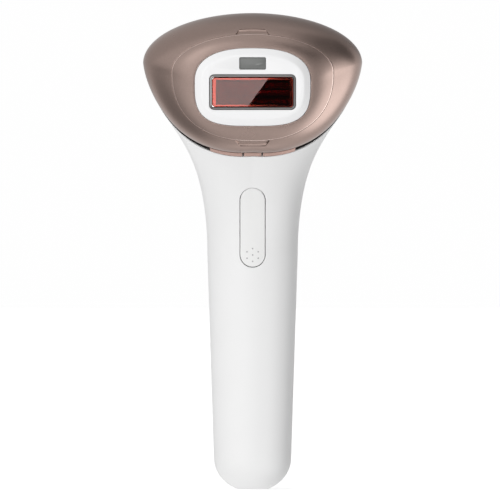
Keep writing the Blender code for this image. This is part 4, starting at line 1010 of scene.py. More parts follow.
def collar_trim():
    gap = CLEAR / VENT_GAP_TOP
    surface = lambda share, angle: groove_skin(share, angle, 0.0)
    reach = math.asin(TRIM_HALF / (HEAD_WIDTH / 2 * (1 - SHIELD)))
    angles = np.linspace(-math.pi / 2 - reach, -math.pi / 2 + reach, 200)
    work = lay_sheet(surface, steps_through((gap, 0.06), (1 - gap, 0))[::-1], angles, closed=False)
    bottom = HEAD_LOW - 0.1 * MM

    def outside_slits(points):
        aside = np.abs(np.abs(points[:, 0]) - TRIM_SLIT_X) - TRIM_SLIT / 2
        return np.maximum(aside, points[:, 2] - bottom)

    carve(work, surface, outside_slits)
    finish_skin(work, "copper_collar_trim", TRIM_WALL, BAND_EDGE, COPPER, "body", "copper_trim", "collar_trim")


# ================================================================ buttons
def skin_point(x, z, side):
    """Points of the body's skin at some x and z. side is -1 for its front and 1 for its rear."""
    curve = FRONT_CURVE if side < 0 else BACK_CURVE
    handle = 1 + (z - END_HEIGHT) / (NECK_Z - END_HEIGHT)
    level = np.where(z < NECK_Z, handle, level_at(curve, z))
    angle = side * (math.pi / 2 - x / (HANDLE_WIDTH / 2))
    step = 1e-5
    for _ in range(14):
        here = body_skin(level, angle)
        by_level = (body_skin(level + step, angle) - here) / step
        by_angle = (body_skin(level, angle + step) - here) / step
        off_x = x - here[:, 0]
        off_z = z - here[:, 2]
        size = by_level[:, 0] * by_angle[:, 2] - by_angle[:, 0] * by_level[:, 2]
        level = level + (off_x * by_angle[:, 2] - by_angle[:, 0] * off_z) / size
        angle = angle + (by_level[:, 0] * off_z - off_x * by_level[:, 2]) / size
    return body_skin(level, angle)


def inset_cap(name, side, low, high, radius, rings=8, arc=20):
    """A piece of the body's skin with round ends, laid in rings around its middle line."""
    half = 2 * arc + 1
    turn = np.concatenate([np.linspace(0, math.pi, half), np.linspace(math.pi, TURN, half)])
    middle = np.repeat([high - radius, low + radius], half)
    x = radius * np.cos(turn)
    z = middle + radius * np.sin(turn)
    straight = high - low - 2 * radius
    if straight > 1e-6:
        count = int(straight / (0.9 * MM))
        rise = low + radius + straight * np.arange(1, count) / count
        side_x = np.full(count - 1, radius)
        x = np.concatenate([x[:half], -side_x, x[half:], side_x])
        z = np.concatenate([z[:half], rise[::-1], z[half:], rise])
    middle = np.clip(z, low + radius, high - radius)
    found = []
    for i in range(rings + 1):
        share = 1 - i / rings
        found.append(skin_point(x * share, middle + (z - middle) * share, side))
    work = bmesh.new()
    rows = [[work.verts.new(point) for point in ring] for ring in found]
    count = len(x)
    for outer, inner in zip(rows, rows[1:]):
        for i in range(count):
            after = (i + 1) % count
            corners = (outer[i], outer[after], inner[after], inner[i])
            work.faces.new(corners if side < 0 else corners[::-1])
    bmesh.ops.remove_doubles(work, verts=work.verts, dist=0.004 * MM)
    bmesh.ops.dissolve_degenerate(work, edges=work.edges, dist=1e-7)
    return object_from(work, name)


def flash_button():
    button = inset_cap("flash_trigger_button", -1, BUTTON_LOW, BUTTON_TOP, BUTTON_WIDTH / 2)
    settle(soften(thicken(button, WALL), 0.3 * MM, 3))
    low = (-LUG_HALF, -HINGE_REACH - 1.0 * MM, HINGE_Z - 2.0 * MM)
    high = (LUG_HALF, -HINGE_REACH + 2.2 * MM, HINGE_Z + 1.9 * MM)
    cut(button, block("hinge_lug", low, high), "UNION")
    bore = rod(AXLE_RADIUS + CLEAR, "lug_bore", (-8 * MM, -HINGE_REACH, HINGE_Z), (8 * MM, -HINGE_REACH, HINGE_Z))
    cut(button, bore)
    start = (0, -HANDLE_DEPTH / 2 + WALL - 0.4 * MM, BUTTON_DOT_Z)
    end = (0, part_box("flash_plunger")[0].y - HANDLE_Y - CLEAR, BUTTON_DOT_Z)
    cut(button, rod(POST_RADIUS, "button_post", start, end), "UNION")
    place(smooth(button), BUTTON_WHITE, "flash_button", "white_gloss", "flash_button")


def rear_button(body, name, z, mark):
    """A round push button. Its body and the node that it replaces have the same name."""
    material = marked_button(body + "_white", z, mark)
    radius = REAR_BUTTON_RADIUS
    button = inset_cap(name, 1, z - radius, z + radius, radius, 8, 16)
    settle(soften(thicken(button, WALL), 0.35 * MM, 3))
    low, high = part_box(body)
    stem = rod(1.1 * MM, "button_stem", (0, low.y - HANDLE_Y, z), (0, high.y - HANDLE_Y - 2.4 * MM, z), 24)
    cut(button, stem, "UNION")
    place(smooth(button), material, body, "white_gloss", body)


# ================================================================ window frame
def rounded_profile(outline, stations, name, closed=False, caps=False):
    """A skin over one outline drawn at several sizes and depths, each station being (grow, y)."""
    rings = [at_depth(outline(grow), y) for grow, y in stations]
    return loft(rings, name, closed=closed, cap_first=caps, cap_last=caps)


FLANGE_FRONT = SKIRT_REACH - SKIRT_WALL - CLEAR
FLANGE_BACK = FLANGE_FRONT - FLANGE_THICK


def window_outline(grow):
    width = GLASS_WIDTH + 2 * (CLEAR + SEAL_WALL) + 2 * grow
    height = GLASS_HEIGHT + 2 * (CLEAR + SEAL_WALL) + 2 * grow
    return box_outline(width, height, 2.0 * MM + grow, WINDOW_Z, 10)


def sensor_outline(grow):
    return box_outline(SENSOR_WIDTH + 2 * grow, SENSOR_HEIGHT + 2 * grow, 0.45 * MM + grow, SENSOR_Z, 6)


FRAME_CHAMFER = (2.75 * MM, 2.2 * MM)  # how far the frame's sloping edge reaches in, and down


def frame_edge():
    """Stations of the sloping edge round the frame's face, with both its corners rounded."""
    inwards, down = FRAME_CHAMFER
    slope = math.atan2(down, inwards)
    front = -SKIN_REACH
    square = math.pi / 2
    outer = ((0.0, front + down), 0.5 * MM, 0.0, square - slope)
    inner = ((-inwards, front), 1.6 * MM, square - slope, square)
    stations = []
    for corner, radius, begin, end in (outer, inner):
        turn = (begin + end) / 2
        away = radius / math.cos((end - begin) / 2)
        grow = corner[0] - away * math.cos(turn)
        y = corner[1] + away * math.sin(turn)
        for i in range(7):
            angle = begin + (end - begin) * i / 6
            stations.append((grow + radius * math.cos(angle), y - radius * math.sin(angle)))
    return stations


def skin_frame():
    angles = even_turn(176)
    stations = [(FLANGE - 0.25 * MM, -FLANGE_BACK), (FLANGE, -FLANGE_BACK - 0.25 * MM)]
    stations += [(FLANGE, -FLANGE_FRONT + 0.25 * MM), (FLANGE - 0.25 * MM, -FLANGE_FRONT)]
    stations += [(0.0, -FLANGE_FRONT), (0.0, -SKIN_REACH + FRAME_CHAMFER[1] + 1.2 * MM)]
    stations += frame_edge()
    rings = [at_depth(frame_outline(angles, grow), y) for grow, y in stations]
    cup = loft(rings, "skin_contact_frame", cap_first=True, cap_last=True)
    hollow_front = SKIN_REACH - FRAME_WALL - 0.2 * MM
    cut(cup, prism(frame_outline(angles, -FRAME_WALL), "cup_hollow", -hollow_front, -hollow_front + 20 * MM))
    opening = 0.22 * MM
    for outline in (window_outline, sensor_outline):
        stations = [(FINE_GAP + opening * 2, -SKIN_REACH - opening)]
        stations += [(FINE_GAP + opening, -SKIN_REACH), (FINE_GAP + opening * 0.3, -SKIN_REACH + opening * 0.3)]
        stations += [(FINE_GAP, -SKIN_REACH + opening), (FINE_GAP, -SKIN_REACH + 15 * MM)]
        cut(cup, rounded_profile(outline, stations, "frame_opening", caps=True))
    post_x = FRAME_WIDTH / 2 + (FLANGE - FRAME_WALL) / 2
    post_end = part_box("skin_frame")[1].y - HANDLE_Y
    for x in (-post_x, post_x):
        start = (x, -FLANGE_BACK - 0.5 * MM, WINDOW_Z + 2 * MM)
        cut(cup, rod(0.8 * MM, "frame_post", start, (x, post_end, WINDOW_Z + 2 * MM), 24), "UNION")
    place(smooth(cup, 30), FRAME_WHITE, "skin_frame", "white_gloss", "skin_frame")


def split_by_facing(piece, sides, front, level):
    """Gives the faces that look forwards a material of their own, so that a darker copy can lie on one side of a
    piece as painted shade.
    """
    piece.data.materials.clear()
    piece.data.materials.append(sides)
    piece.data.materials.append(front)
    for face in piece.data.polygons:
        face.material_index = int(face.normal.y < level)
    return piece


def window_seal():
    front = -SKIN_REACH + SEAL_RECESS
    back = front + SEAL_DEPTH
    inner = -SEAL_WALL
    stations = [(0, back), (0, front + SEAL_EDGE), (-SEAL_EDGE, front), (-SEAL_FLAT, front)]
    stations += [(-SEAL_FLAT - 0.04 * MM, front + 0.02 * MM), (inner, front + SEAL_SLOPE), (inner, back)]
    seal = rounded_profile(window_outline, stations, "window_seal_ring", closed=True)
    # The seal's flat front takes the darker copy: painted shade.
    seal = split_by_facing(seal, SEAL, SEAL_FACE_SHADE, -0.95)
    place(smooth(seal, 25), None, "attachment", "seal_grey", "window_seal")


def glass_outline(grow, corner=1.0 * MM):
    width = GLASS_WIDTH + 2 * grow
    height = GLASS_HEIGHT + 2 * grow
    return box_outline(width, height, corner + grow, WINDOW_Z, 8)


def pane(outline, name, front, back, edge):
    """A flat pane with a small polished chamfer."""
    stations = [(-edge, front), (0.0, front + edge), (0.0, back - edge), (-edge, back)]
    return smooth(rounded_profile(outline, stations, name, caps=True), 25)


def window_panes():
    low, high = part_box("window_glass")
    glass = pane(glass_outline, "treatment_window_glass", low.y - HANDLE_Y, high.y - HANDLE_Y, 0.2 * MM)
    place(glass, RED_GLASS, "attachment", "red_glass", "window_glass")
    low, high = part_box("filter_glass")
    grow = (high.x - low.x - GLASS_WIDTH) / 2
    wider = lambda more: glass_outline(grow + more, 0.4 * MM)
    rear = pane(wider, "light_filter_glass", low.y - HANDLE_Y, high.y - HANDLE_Y, 0.2 * MM)
    place(rear, REAR_FILTER, "body", "red_glass", "filter_glass")


def light_duct():
    """The duct behind the glass, whose walls are painted shade in near-black, and whose bright rim shows through
    the glass's edge.
    """
    low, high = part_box("light_duct")
    front = low.y - HANDLE_Y
    back = high.y - HANDLE_Y
    outside = box_outline(high.x - low.x, high.z - low.z, 0.6 * MM, WINDOW_Z)
    inside = box_outline(GLASS_WIDTH - 2 * DUCT_RIM_X, GLASS_HEIGHT - 2 * DUCT_RIM_Z, 0.2 * MM, WINDOW_Z)
    duct = prism(outside, "light_duct_lining", front, back)
    cut(duct, prism(inside, "duct_bore", front - 1 * MM, back + 1 * MM))
    # The duct's walls take the near-black finish as painted shade; its forward faces keep the mirror rim.
    duct = split_by_facing(duct, DUCT_WALL_SHADE, DUCT_RIM, -0.9)
    place(smooth(duct, 30), None, "attachment", "mirror_aluminium", "light_duct")


def sensor_window():
    low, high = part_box("sensor_lens")
    front = low.y - HANDLE_Y
    stations = [(-0.3 * MM, front), (-0.22 * MM, front + 0.03 * MM), (0, front + 0.3 * MM)]
    stations += [(0, high.y - HANDLE_Y - 0.2 * MM), (-0.2 * MM, high.y - HANDLE_Y)]
    lens = smooth(rounded_profile(sensor_outline, stations, "skin_sensor_window", caps=True), 25)
    place(lens, SENSOR_GLASS, "skin_frame", "sensor_grey", "sensor_lens")


# ================================================================ optics
def reflector():
    """The polished trough behind the lamp: a flared U of even wall."""
    low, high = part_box("reflector")
    mouth = low.y - HANDLE_Y
    wall = 0.6 * MM
    radius = 4.6 * MM
    centre = high.y - HANDLE_Y - wall - radius
    half_mouth = (high.z - low.z) / 2 - wall
    turns = np.linspace(math.pi / 2, -math.pi / 2, 33)
    points = []
    for grow, order in ((wall, 1), (0.0, -1)):
        y = np.concatenate([[mouth], centre + (radius + grow) * np.cos(turns), [mouth]])
        z = np.concatenate([[half_mouth + grow], (radius + grow) * np.sin(turns), [-half_mouth - grow]])
        points += list(zip(y, z))[::order]
    rings = [[(x, y, WINDOW_Z + z) for y, z in points] for x in (low.x, high.x)]
    trough = loft(rings, "trough_reflector", cap_first=True, cap_last=True)
    place(smooth(trough, 30), MIRROR, "body", "mirror_aluminium", "reflector")


def flash_lamp():
    low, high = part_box("flash_lamp")
    radius = (high.z - low.z) / 2
    length = high.x - low.x
    neck = 0.62 * radius
    profile = [(0, 0), (neck * 0.8, 0), (neck, 0.3 * MM), (neck, 3 * MM)]
    profile += [(radius * 0.85, 4.2 * MM), (radius, 5.6 * MM)]
    profile += [(r, length - d) for r, d in profile[::-1]]
    start = (low.x, (low.y + high.y) / 2 - HANDLE_Y, WINDOW_Z)
    lamp = smooth(turned(profile, "flash_lamp_tube", start, (1, 0, 0), 48), 50)
    place(lamp, LAMP_GLASS, "body", "clear_glass", "flash_lamp")


# ================================================================ power inlet
def power_inlet():
    height = SOCKET_DEPTH + 1.6 * MM
    body_radius = SOCKET_RADIUS - 0.6 * MM
    lip = 0.35 * MM
    profile = [(0, height), (body_radius - 0.3 * MM, height), (body_radius, height - 0.3 * MM)]
    profile += [(body_radius, 1.2 * MM), (SOCKET_RADIUS, 1.2 * MM), (SOCKET_RADIUS, lip)]
    for i in range(1, 5):
        turn = math.pi / 2 * i / 4
        profile.append((SOCKET_RADIUS - lip * (1 - math.cos(turn)), lip * (1 - math.sin(turn))))
    for i in range(5):
        turn = math.pi / 2 * i / 4
        profile.append((SOCKET_BORE + lip * (1 - math.sin(turn)), lip * (1 - math.cos(turn))))
    profile += [(SOCKET_BORE, SOCKET_DEPTH), (0, SOCKET_DEPTH)]
    socket = smooth(turned(profile, "power_inlet_socket", (0, 0, 0), (0, 0, 1), 64), 30)
    place(socket, BLACK, "body", "black_plastic", "power_socket")
    low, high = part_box("socket_pin")
    radius = (high.x - low.x) / 2
    profile = [(0, 0), (radius * 0.5, 0.05 * MM), (radius * 0.87, 0.25 * MM), (radius, 0.6 * MM)]
    profile += [(radius, high.z - low.z), (0, high.z - low.z)]
    pin = smooth(turned(profile, "power_inlet_pin", (0, 0, low.z), (0, 0, 1), 32), 40)
    place(pin, GOLD, "body", "steel", "socket_pin")


# ================================================================ what repeats
def tree_of(name, **inputs):
    """An empty geometry tree with named float inputs."""
    tree = bpy.data.node_groups.new(name, "GeometryNodeTree")
    tree.interface.new_socket("Geometry", in_out="INPUT", socket_type="NodeSocketGeometry")
    for label, value in inputs.items():
        kind = "NodeSocketInt" if isinstance(value, int) else "NodeSocketFloat"
        socket = tree.interface.new_socket(label, in_out="INPUT", socket_type=kind)
        socket.default_value = value
    tree.interface.new_socket("Geometry", in_out="OUTPUT", socket_type="NodeSocketGeometry")
    return tree, tree.nodes.new("NodeGroupInput").outputs


def end_tree(tree, geometry, material):
    real = node(tree, "GeometryNodeRealizeInstances", {"Geometry": geometry}).outputs[0]
    done = node(tree, "GeometryNodeSetMaterial", {"Geometry": real, "Material": material}).outputs[0]
    tree.links.new(done, tree.nodes.new("NodeGroupOutput").inputs[0])
    return tree


def grown(name, tree, base=None, **values):
    """A plain mesh grown by a geometry tree, from nothing or from the points of a base mesh."""
    piece = added(name, base or bpy.data.meshes.new(name))
    modifier = piece.modifiers.new("grown", "NODES")
    modifier.node_group = tree
    for item in tree.interface.items_tree:
        if item.in_out == "INPUT" and item.name in values:
            modifier[item.identifier] = values[item.name]
    return settle(piece)


def spring_tree(material):
    """A coil of round wire along -Y, with its end turns at the centre given by X, Y and Z."""
    sizes = {"Turns": 3.0, "Radius": 0.001, "Wire": 0.0002, "Height": 0.0034, "X": 0.0, "Y": 0.0, "Z": 0.0}
    tree, given = tree_of("coil_spring", **sizes)
    spiral = {"Resolution": 24, "Rotations": given["Turns"], "Start Radius": given["Radius"]}
    spiral |= {"End Radius": given["Radius"], "Height": given["Height"]}
    line = node(tree, "GeometryNodeCurveSpiral", spiral).outputs[0]
    wire = node(tree, "GeometryNodeCurvePrimitiveCircle", {"Resolution": 10, "Radius": given["Wire"]}).outputs[0]
    tube = {"Curve": line, "Profile Curve": wire, "Fill Caps": True}
    body = node(tree, "GeometryNodeCurveToMesh", tube).outputs[0]
    at = node(tree, "ShaderNodeCombineXYZ", {"X": given["X"], "Y": given["Y"], "Z": given["Z"]}).outputs[0]
    turned_down = {"Geometry": body, "Translation": at, "Rotation": (math.pi / 2, 0, 0)}
    return end_tree(tree, node(tree, "GeometryNodeTransform", turned_down).outputs[0], material)


def springs():
    tree = spring_tree(STEEL)
    made = [("button_spring", "body", 5.0, 0.2 * MM, 1.9 * MM)]
    made += [(f"frame_spring_{i}", "attachment", 3.0, 0.17 * MM, 1.0 * MM) for i in (1, 2, 3, 4)]
    for name, body, turns, wire, radius in made:
        low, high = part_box(name)
        sizes = {"Turns": turns, "Wire": wire, "Radius": radius, "Height": high.y - low.y - 2 * wire}
        centre = {"X": (low.x + high.x) / 2, "Y": high.y - wire, "Z": (low.z + high.z) / 2}
        spring = grown(name + "_coil", tree, **sizes, **centre)
        place(smooth(spring, 60), STEEL, body, "steel", name)
        if body == "attachment":
            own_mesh(spring)


def points_mesh(name, places):
    mesh = bpy.data.meshes.new(name)
    mesh.from_pydata([tuple(p) for p in places], [], [])
    return mesh


def repeat_tree(name, source, material):
    """Copies of one mesh, at the points of another."""
    tree, given = tree_of(name, Scale=1.0)
    shape = node(tree, "GeometryNodeObjectInfo", {"Object": source}).outputs["Geometry"]
    copies = {"Points": given["Geometry"], "Instance": shape, "Scale": given["Scale"]}
    return end_tree(tree, node(tree, "GeometryNodeInstanceOnPoints", copies).outputs[0], material)


def repeated(name, source, places, material):
    """One piece of many equal parts. The part itself is thrown away."""
    made = grown(name, repeat_tree(name + "_layout", source, material), points_mesh(name, places))
    bpy.data.objects.remove(source)
    return made


def at_origin(piece):
    """Brings a part back from the handle's axis to the origin, so that its copies land on their points."""
    piece.data.transform(Matrix.Translation((0, -HANDLE_Y, 0)))
    return piece


def screws():
    radius = 1.9 * MM
    head = 1.2 * MM
    profile = [(0, head), (radius * 0.5, head), (radius * 0.82, head * 0.92), (radius * 0.97, head * 0.6)]
    profile += [(radius, head * 0.3), (radius, 0), (0.9 * MM, 0), (0.9 * MM, -7 * MM), (0, -8 * MM)]
    screw = turned(profile, "screw", (0, 0, 0), (0, -1, 0), 32)
    for wide, tall in ((2.2, 0.5), (0.5, 2.2)):
        low = (-wide / 2 * MM, -2 * MM, -tall / 2 * MM)
        high = (wide / 2 * MM, -0.55 * MM, tall / 2 * MM)
        cut(screw, block("cross_slot", low, high))
    smooth(at_origin(screw), 35)
    places = []
    for i in (1, 2, 3, 4):
        low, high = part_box(f"chassis_screw_{i}")
        places.append(((low.x + high.x) / 2, low.y + head, (low.z + high.z) / 2))
    made = repeated("chassis_screws", screw, places, STEEL)
    place(made, STEEL, "body", "steel", *(f"chassis_screw_{i}" for i in (1, 2, 3, 4)))


def button_dots():
    """Seven small raised dots, one in the middle and six around it."""
    radius = 0.34 * MM
    profile = [(0, 0.13 * MM), (radius * 0.45, 0.12 * MM), (radius * 0.8, 0.075 * MM)]
    profile += [(radius, 0), (radius, -0.3 * MM), (0, -0.3 * MM)]
    dot = smooth(at_origin(turned(profile, "dot", (0, 0, 0), (0, -1, 0), 24)), 50)
    pitch = 2.7 * MM
    turns = np.radians([90 + 60 * i for i in range(6)])
    x = np.concatenate([[0], pitch * np.cos(turns)])
    z = BUTTON_DOT_Z + np.concatenate([[0], pitch * np.sin(turns)])
    places = skin_point(x, z, -1) + (0, HANDLE_Y, 0)
    made = repeated("flash_button_dots", dot, places, DOT_GREY)
    place(made, DOT_GREY, "flash_button", "white_gloss")


BLADE_COUNT = 7
BLADE_TIP = 13.0 * MM
BLADE_ROOT = 4.9 * MM
BLADE_CHORD = 5.0 * MM
BLADE_THICK = 0.7 * MM
BLADE_PITCH = math.radians(38)
BLADE_BOW = -60.0
HUB_RADIUS = 5.6 * MM


def blade_tree(centre):
    """Bowed and pitched blades around the Y axis through a centre."""
    sizes = {"Root": BLADE_ROOT, "Tip": BLADE_TIP, "Chord": BLADE_CHORD, "Pitch": BLADE_PITCH}
    tree, given = tree_of("fan_blades", Blades=BLADE_COUNT, **sizes)

    def step(operation, *values):
        return maths(tree, operation, *values)

    def vector(**parts):
        return node(tree, "ShaderNodeCombineXYZ", parts).outputs[0]

    def made(kind, **inputs):
        inputs = {key.replace("_", " "): value for key, value in inputs.items()}
        return node(tree, "GeometryNode" + kind, inputs).outputs[0]

    span = step("SUBTRACT", given["Tip"], given["Root"])
    size = vector(X=span, Y=given["Chord"], Z=BLADE_THICK)
    flat = made("MeshCube", Size=size, Vertices_X=9, Vertices_Y=7)
    across = node(tree, "ShaderNodeSeparateXYZ", {"Vector": made("InputPosition")}).outputs["Y"]
    bow = step("MULTIPLY", step("MULTIPLY", across, across), BLADE_BOW)
    bowed = made("SetPosition", Geometry=flat, Offset=vector(Z=bow))
    aside = vector(X=step("ADD", step("MULTIPLY", span, 0.5), given["Root"]))
    pitched = made("Transform", Geometry=bowed, Translation=aside, Rotation=vector(X=given["Pitch"]))
    circle = made("MeshCircle", Vertices=given["Blades"], Radius=1e-6)
    share = step("DIVIDE", made("InputIndex"), given["Blades"])
    spin = vector(Z=step("MULTIPLY", share, TURN))
    ring = made("InstanceOnPoints", Points=circle, Instance=pitched, Rotation=spin)
    laid = made("Transform", Geometry=ring, Translation=centre, Rotation=(math.pi / 2, 0, 0))
    return end_tree(tree, laid, BLACK)


def fan():
    low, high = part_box("fan_impeller")
    housing_low, housing_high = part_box("fan_housing")
    middle_z = (housing_low.z + housing_high.z) / 2
    depth = high.y - low.y
    hub = HUB_RADIUS
    profile = [(0, 0), (hub - 0.8 * MM, 0), (hub - 0.2 * MM, 0.2 * MM), (hub, 0.8 * MM), (hub, depth), (0, depth)]
    wheel = turned(profile, "fan_hub", (0, low.y - HANDLE_Y, middle_z), (0, 1, 0), 48)
    blades = grown("fan_blades", blade_tree((0, (low.y + high.y) / 2, middle_z)))
    cut(wheel, blades, "UNION")
    wheel.name = "fan_impeller_wheel"
    place(smooth(wheel, 35), BLACK, "fan_rotor", "black_plastic", "fan_impeller")


def vent_slats():
    """A row of thin slats behind the air slots."""
    slat_x = SLOT_WIDTH / 2 + 1.5 * MM
    low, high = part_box("fan_housing")
    back = high.y - HANDLE_Y
    profile_y = np.array([0, 1.6 * MM, 1.75 * MM, 1.6 * MM, 0, -0.15 * MM])
    profile_z = np.array([-0.22, -0.22, 0, 0.22, 0.22, 0]) * MM
    rings = [[(x, y, z) for y, z in zip(profile_y, profile_z)] for x in (-slat_x + 4 * MM, slat_x - 4 * MM)]
    slat = at_origin(loft(rings, "slat", cap_first=True, cap_last=True))
    places = [(0, back + HANDLE_Y + 0.4 * MM, SLOT_LOW + 1.7 * MM * i) for i in range(12)]
    made = repeated("fan_guard_slats", slat, places, BLACK)
    place(smooth(made, 30), BLACK, "body", "black_plastic")


BOARD_ROWS = 9
BOARD_COLUMNS = 6
BOARD_HALF = 7.5 * MM  # from the middle of the board to its outer columns
BOARD_FILL = 0.62  # share of the places that hold a part


def board_parts():
    """Small chips in rows on the main board, with some places left empty."""
    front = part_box("main_board")[0].y
    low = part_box("control_chip")[1].z + 1.5 * MM
    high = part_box("power_transformer")[0].z - 1.5 * MM
    rng = np.random.default_rng(7)
    chip = at_origin(block("chip", (-0.9 * MM, -0.8 * MM, -0.45 * MM), (0.9 * MM, 0, 0.45 * MM)))
    settle(soften(chip, 0.1 * MM, 2, 40))
    places = []
    for i in range(BOARD_ROWS):
        z = low + (high - low) * i / (BOARD_ROWS - 1)
        for x in np.linspace(-BOARD_HALF, BOARD_HALF, BOARD_COLUMNS):
            if rng.random() < BOARD_FILL:
                places.append((x, front, z))
    made = repeated("board_small_parts", chip, places, CAN_BLACK)
    place(smooth(made, 30), CAN_BLACK, "body", "black_plastic")


# ================================================================ nodes kept from the frame
KEPT = (
    (BLACK, 0.12, "frame_switch_left", "frame_switch_right"),
    (BLACK, 0.15, "contact_block", "flash_switch", "intensity_switch", "power_switch"),
    (BLACK, 0.2, "attachment_base", "chassis", "fan_housing"),
    (BLACK, 0.3, "lamp_carrier"),
    (BOARD_GREEN, 0, "main_board", "rear_board", "switch_board"),
    (CAN_BLACK, 0, "flash_capacitor"),
    (CAN_BLACK, 0.12, "control_chip"),
    (CELL_BLUE, 0, "battery_cell"),
    (COPPER, 0.15, "flash_plunger"),
    (FERRITE, 0.2, "power_transformer", "trigger_coil"),
    (GOLD, 0.08, "contact_board"),
    (GOLD, 0.1, "contact_pin_1", "contact_pin_2", "contact_pin_3"),
    (GUIDE_CLEAR, 0, "light_guide"),
    (STEEL, 0, "button_axle"),
    (STEEL, 0.15, "button_bracket"),
    (STEEL, 0.2, "lamp_cap_left", "lamp_cap_right"),
    (WHITE, 0.2, "head_bulkhead"),
)  # a finish, how wide the edges are softened in millimetres, and the nodes


def kept_nodes():
    """Frame nodes whose shape is right: they get their finish, and a small live bevel where they are boxes."""
    for material, edge, *names in KEPT:
        for name in names:
            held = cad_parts[name]
            held.data.materials.clear()
            held.data.materials.append(material)
            if edge:
                weld = held.modifiers.new("weld", "WELD")
                weld.merge_threshold = 1e-6
                soften(held, edge * MM, 2, 45)


# ================================================================ the room, the light and the camera
def stage():
    floor_material, tree, shader, where = material_of("pale_studio_floor", (0.9, 0.9, 0.9), 0.8)
    haze = speckle(tree, where, 3.0)
    tree.links.new(blended(tree, haze, (0.895, 0.895, 0.895), (0.905, 0.905, 0.905)), shader.inputs["Base Color"])
    shader.inputs["Emission Color"].default_value = (1, 1, 1, 1)
    shader.inputs["Emission Strength"].default_value = 0.3
    work = bmesh.new()
    bmesh.ops.create_circle(work, cap_ends=True, segments=96, radius=14.0)
    mesh = bpy.data.meshes.new("studio_floor")
    work.to_mesh(mesh)
    work.free()
    floor = added("studio_floor", mesh)
    mesh.materials.append(floor_material)
    floor.visible_glossy = False
    floor.visible_diffuse = False


def lobe(tree, direction, across, up, inner, outer):
    """1 near a direction of the room and 0 away from it.

    All four are degrees: across from the front to the right, up from level, full within inner, gone beyond outer.
    """
    turn = math.radians(across)
    rise = math.radians(up)
    aim = (math.cos(rise) * math.sin(turn), -math.cos(rise) * math.cos(turn), math.sin(rise))
    near = node(tree, "ShaderNodeVectorMath", {0: direction, 1: aim}, operation="DOT_PRODUCT").outputs["Value"]
    ends = {"Value": near, "From Min": math.cos(math.radians(outer)), "From Max": math.cos(math.radians(inner))}
    return node(tree, "ShaderNodeMapRange", ends, interpolation_type="SMOOTHSTEP").outputs["Result"]


DARKEST = 0.03


def lit_room(tree, direction, level, lobes):
    """An even room with soft boxes and flags added to it."""
    for across, up, inner, outer, gain in lobes:
        share = lobe(tree, direction, across, up, inner, outer)
        level = maths(tree, "MULTIPLY_ADD", share, gain, level)
    level = maths(tree, "MAXIMUM", level, DARKEST)
    return node(tree, "ShaderNodeBackground", {"Color": (1, 1, 1, 1), "Strength": level}).outputs[0]


FILL_LEVEL = 1.055  # the room as matt surfaces see it
FILL_LOBES = (
    (67, 0, 46, 71, -1.07),
    (-1, 0, 36, 89, 0.65),
    (-75, 0, 10, 76, -0.58),
)
SHINE_LEVEL = 0.90  # the room as glossy surfaces see it
SHINE_LOBES = (
    (61, -16, 18, 50, 1.42),
    (68, 34, 22, 46, -0.74),
    (-71, -32, 6, 58, -0.54),
    (-11, 19, 8, 16, 0.86),
    (-25, -90, 8, 17, 0.22),
    (148, 35, 8, 45, -0.32),
    (-152, 47, 54, 66, -0.24),
    (14, 17, 1, 23, -0.83),
    (0, 0, 3, 7, -2.0),
)


def light():
    world = bpy.data.worlds.new("studio_room")
    bpy.context.scene.world = world
    world.use_nodes = True
    world.cycles.sampling_method = "NONE"
    tree = world.node_tree
    tree.nodes.clear()
    direction = node(tree, "ShaderNodeTexCoord").outputs["Generated"]
    fill = lit_room(tree, direction, FILL_LEVEL, FILL_LOBES)
    shine = lit_room(tree, direction, SHINE_LEVEL, SHINE_LOBES)
    paper = node(tree, "ShaderNodeBackground", {"Color": (0.995, 0.995, 0.995, 1), "Strength": 1.0}).outputs[0]
    ray = node(tree, "ShaderNodeLightPath").outputs
    room = node(tree, "ShaderNodeMixShader", {0: ray["Is Glossy Ray"], 1: fill, 2: shine}).outputs[0]
    both = node(tree, "ShaderNodeMixShader", {0: ray["Is Camera Ray"], 1: room, 2: paper}).outputs[0]
    tree.links.new(both, tree.nodes.new("ShaderNodeOutputWorld").inputs["Surface"])
    bpy.context.scene.view_settings.view_transform = "Standard"
    soft_card()


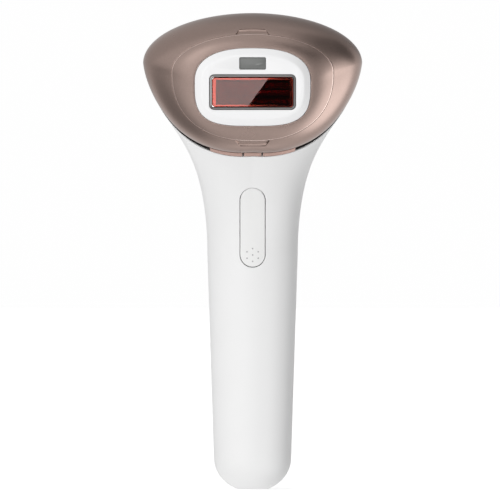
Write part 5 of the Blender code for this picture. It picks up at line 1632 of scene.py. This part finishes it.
CAMERA_DISTANCE = 4.5
CAMERA_X = -0.0011
CAMERA_Z = 0.101
FIELD = 0.210  # width of the view, at FIELD_DEPTH in front of the middle
FIELD_DEPTH = 0.012
CARD_DISTANCE = 6.0
CARD_SIZE = 0.7
CARD_RADIANCE = 3.25
CARD_TOP = (0.0069, 0.1732)  # where the card's edge is mirrored in the window's top and bottom edge
CARD_LOW = (-0.0021, 0.1609)


def soft_card():
    """A soft card behind the camera. The window mirrors its right edge as a slanting line."""
    glass_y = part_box("window_glass")[0].y
    behind = CAMERA_DISTANCE + glass_y
    stretch = 1 + CARD_DISTANCE / behind
    corners = []
    for x, z in (CARD_TOP, CARD_LOW):
        corners.append(Vector((CAMERA_X + (x - CAMERA_X) * stretch, 0, CAMERA_Z + (z - CAMERA_Z) * stretch)))
    up = (corners[0] - corners[1]).normalized()
    left = Vector((-up.z, 0, up.x))
    centre = (corners[0] + corners[1]) / 2 + left * CARD_SIZE / 2
    data = bpy.data.lights.new("soft_card", "AREA")
    data.shape = "SQUARE"
    data.size = CARD_SIZE
    data.energy = CARD_RADIANCE * math.pi * CARD_SIZE**2
    made = added("soft_card", data)
    facing = Vector((0, 1, 0))
    turn = Matrix((up.cross(-facing), up, -facing)).transposed()
    made.matrix_world = Matrix.Translation((centre.x, glass_y - CARD_DISTANCE, centre.z)) @ turn.to_4x4()


def camera():
    data = bpy.data.cameras.new("studio_camera")
    data.sensor_width = 36
    data.lens = data.sensor_width * (CAMERA_DISTANCE - FIELD_DEPTH) / FIELD
    data.clip_end = 50
    made = added("studio_camera", data)
    made.location = (CAMERA_X, -CAMERA_DISTANCE, CAMERA_Z)
    made.rotation_euler = (math.pi / 2, 0, 0)
    bpy.context.scene.camera = made


# ================================================================ building it
front_shell()
rear_shell()
head_ring()
attachment_skirt()
vent_collar()
collar_trim()
flash_button()
button_dots()
rear_button("power_button", "power_push_button", POWER_Z, "power")
rear_button("intensity_button", "intensity_push_button", INTENSITY_Z, "plus")
skin_frame()
window_seal()
window_panes()
light_duct()
sensor_window()
reflector()
flash_lamp()
power_inlet()
springs()
screws()
fan()
vent_slats()
board_parts()
kept_nodes()
stage()
light()
camera()
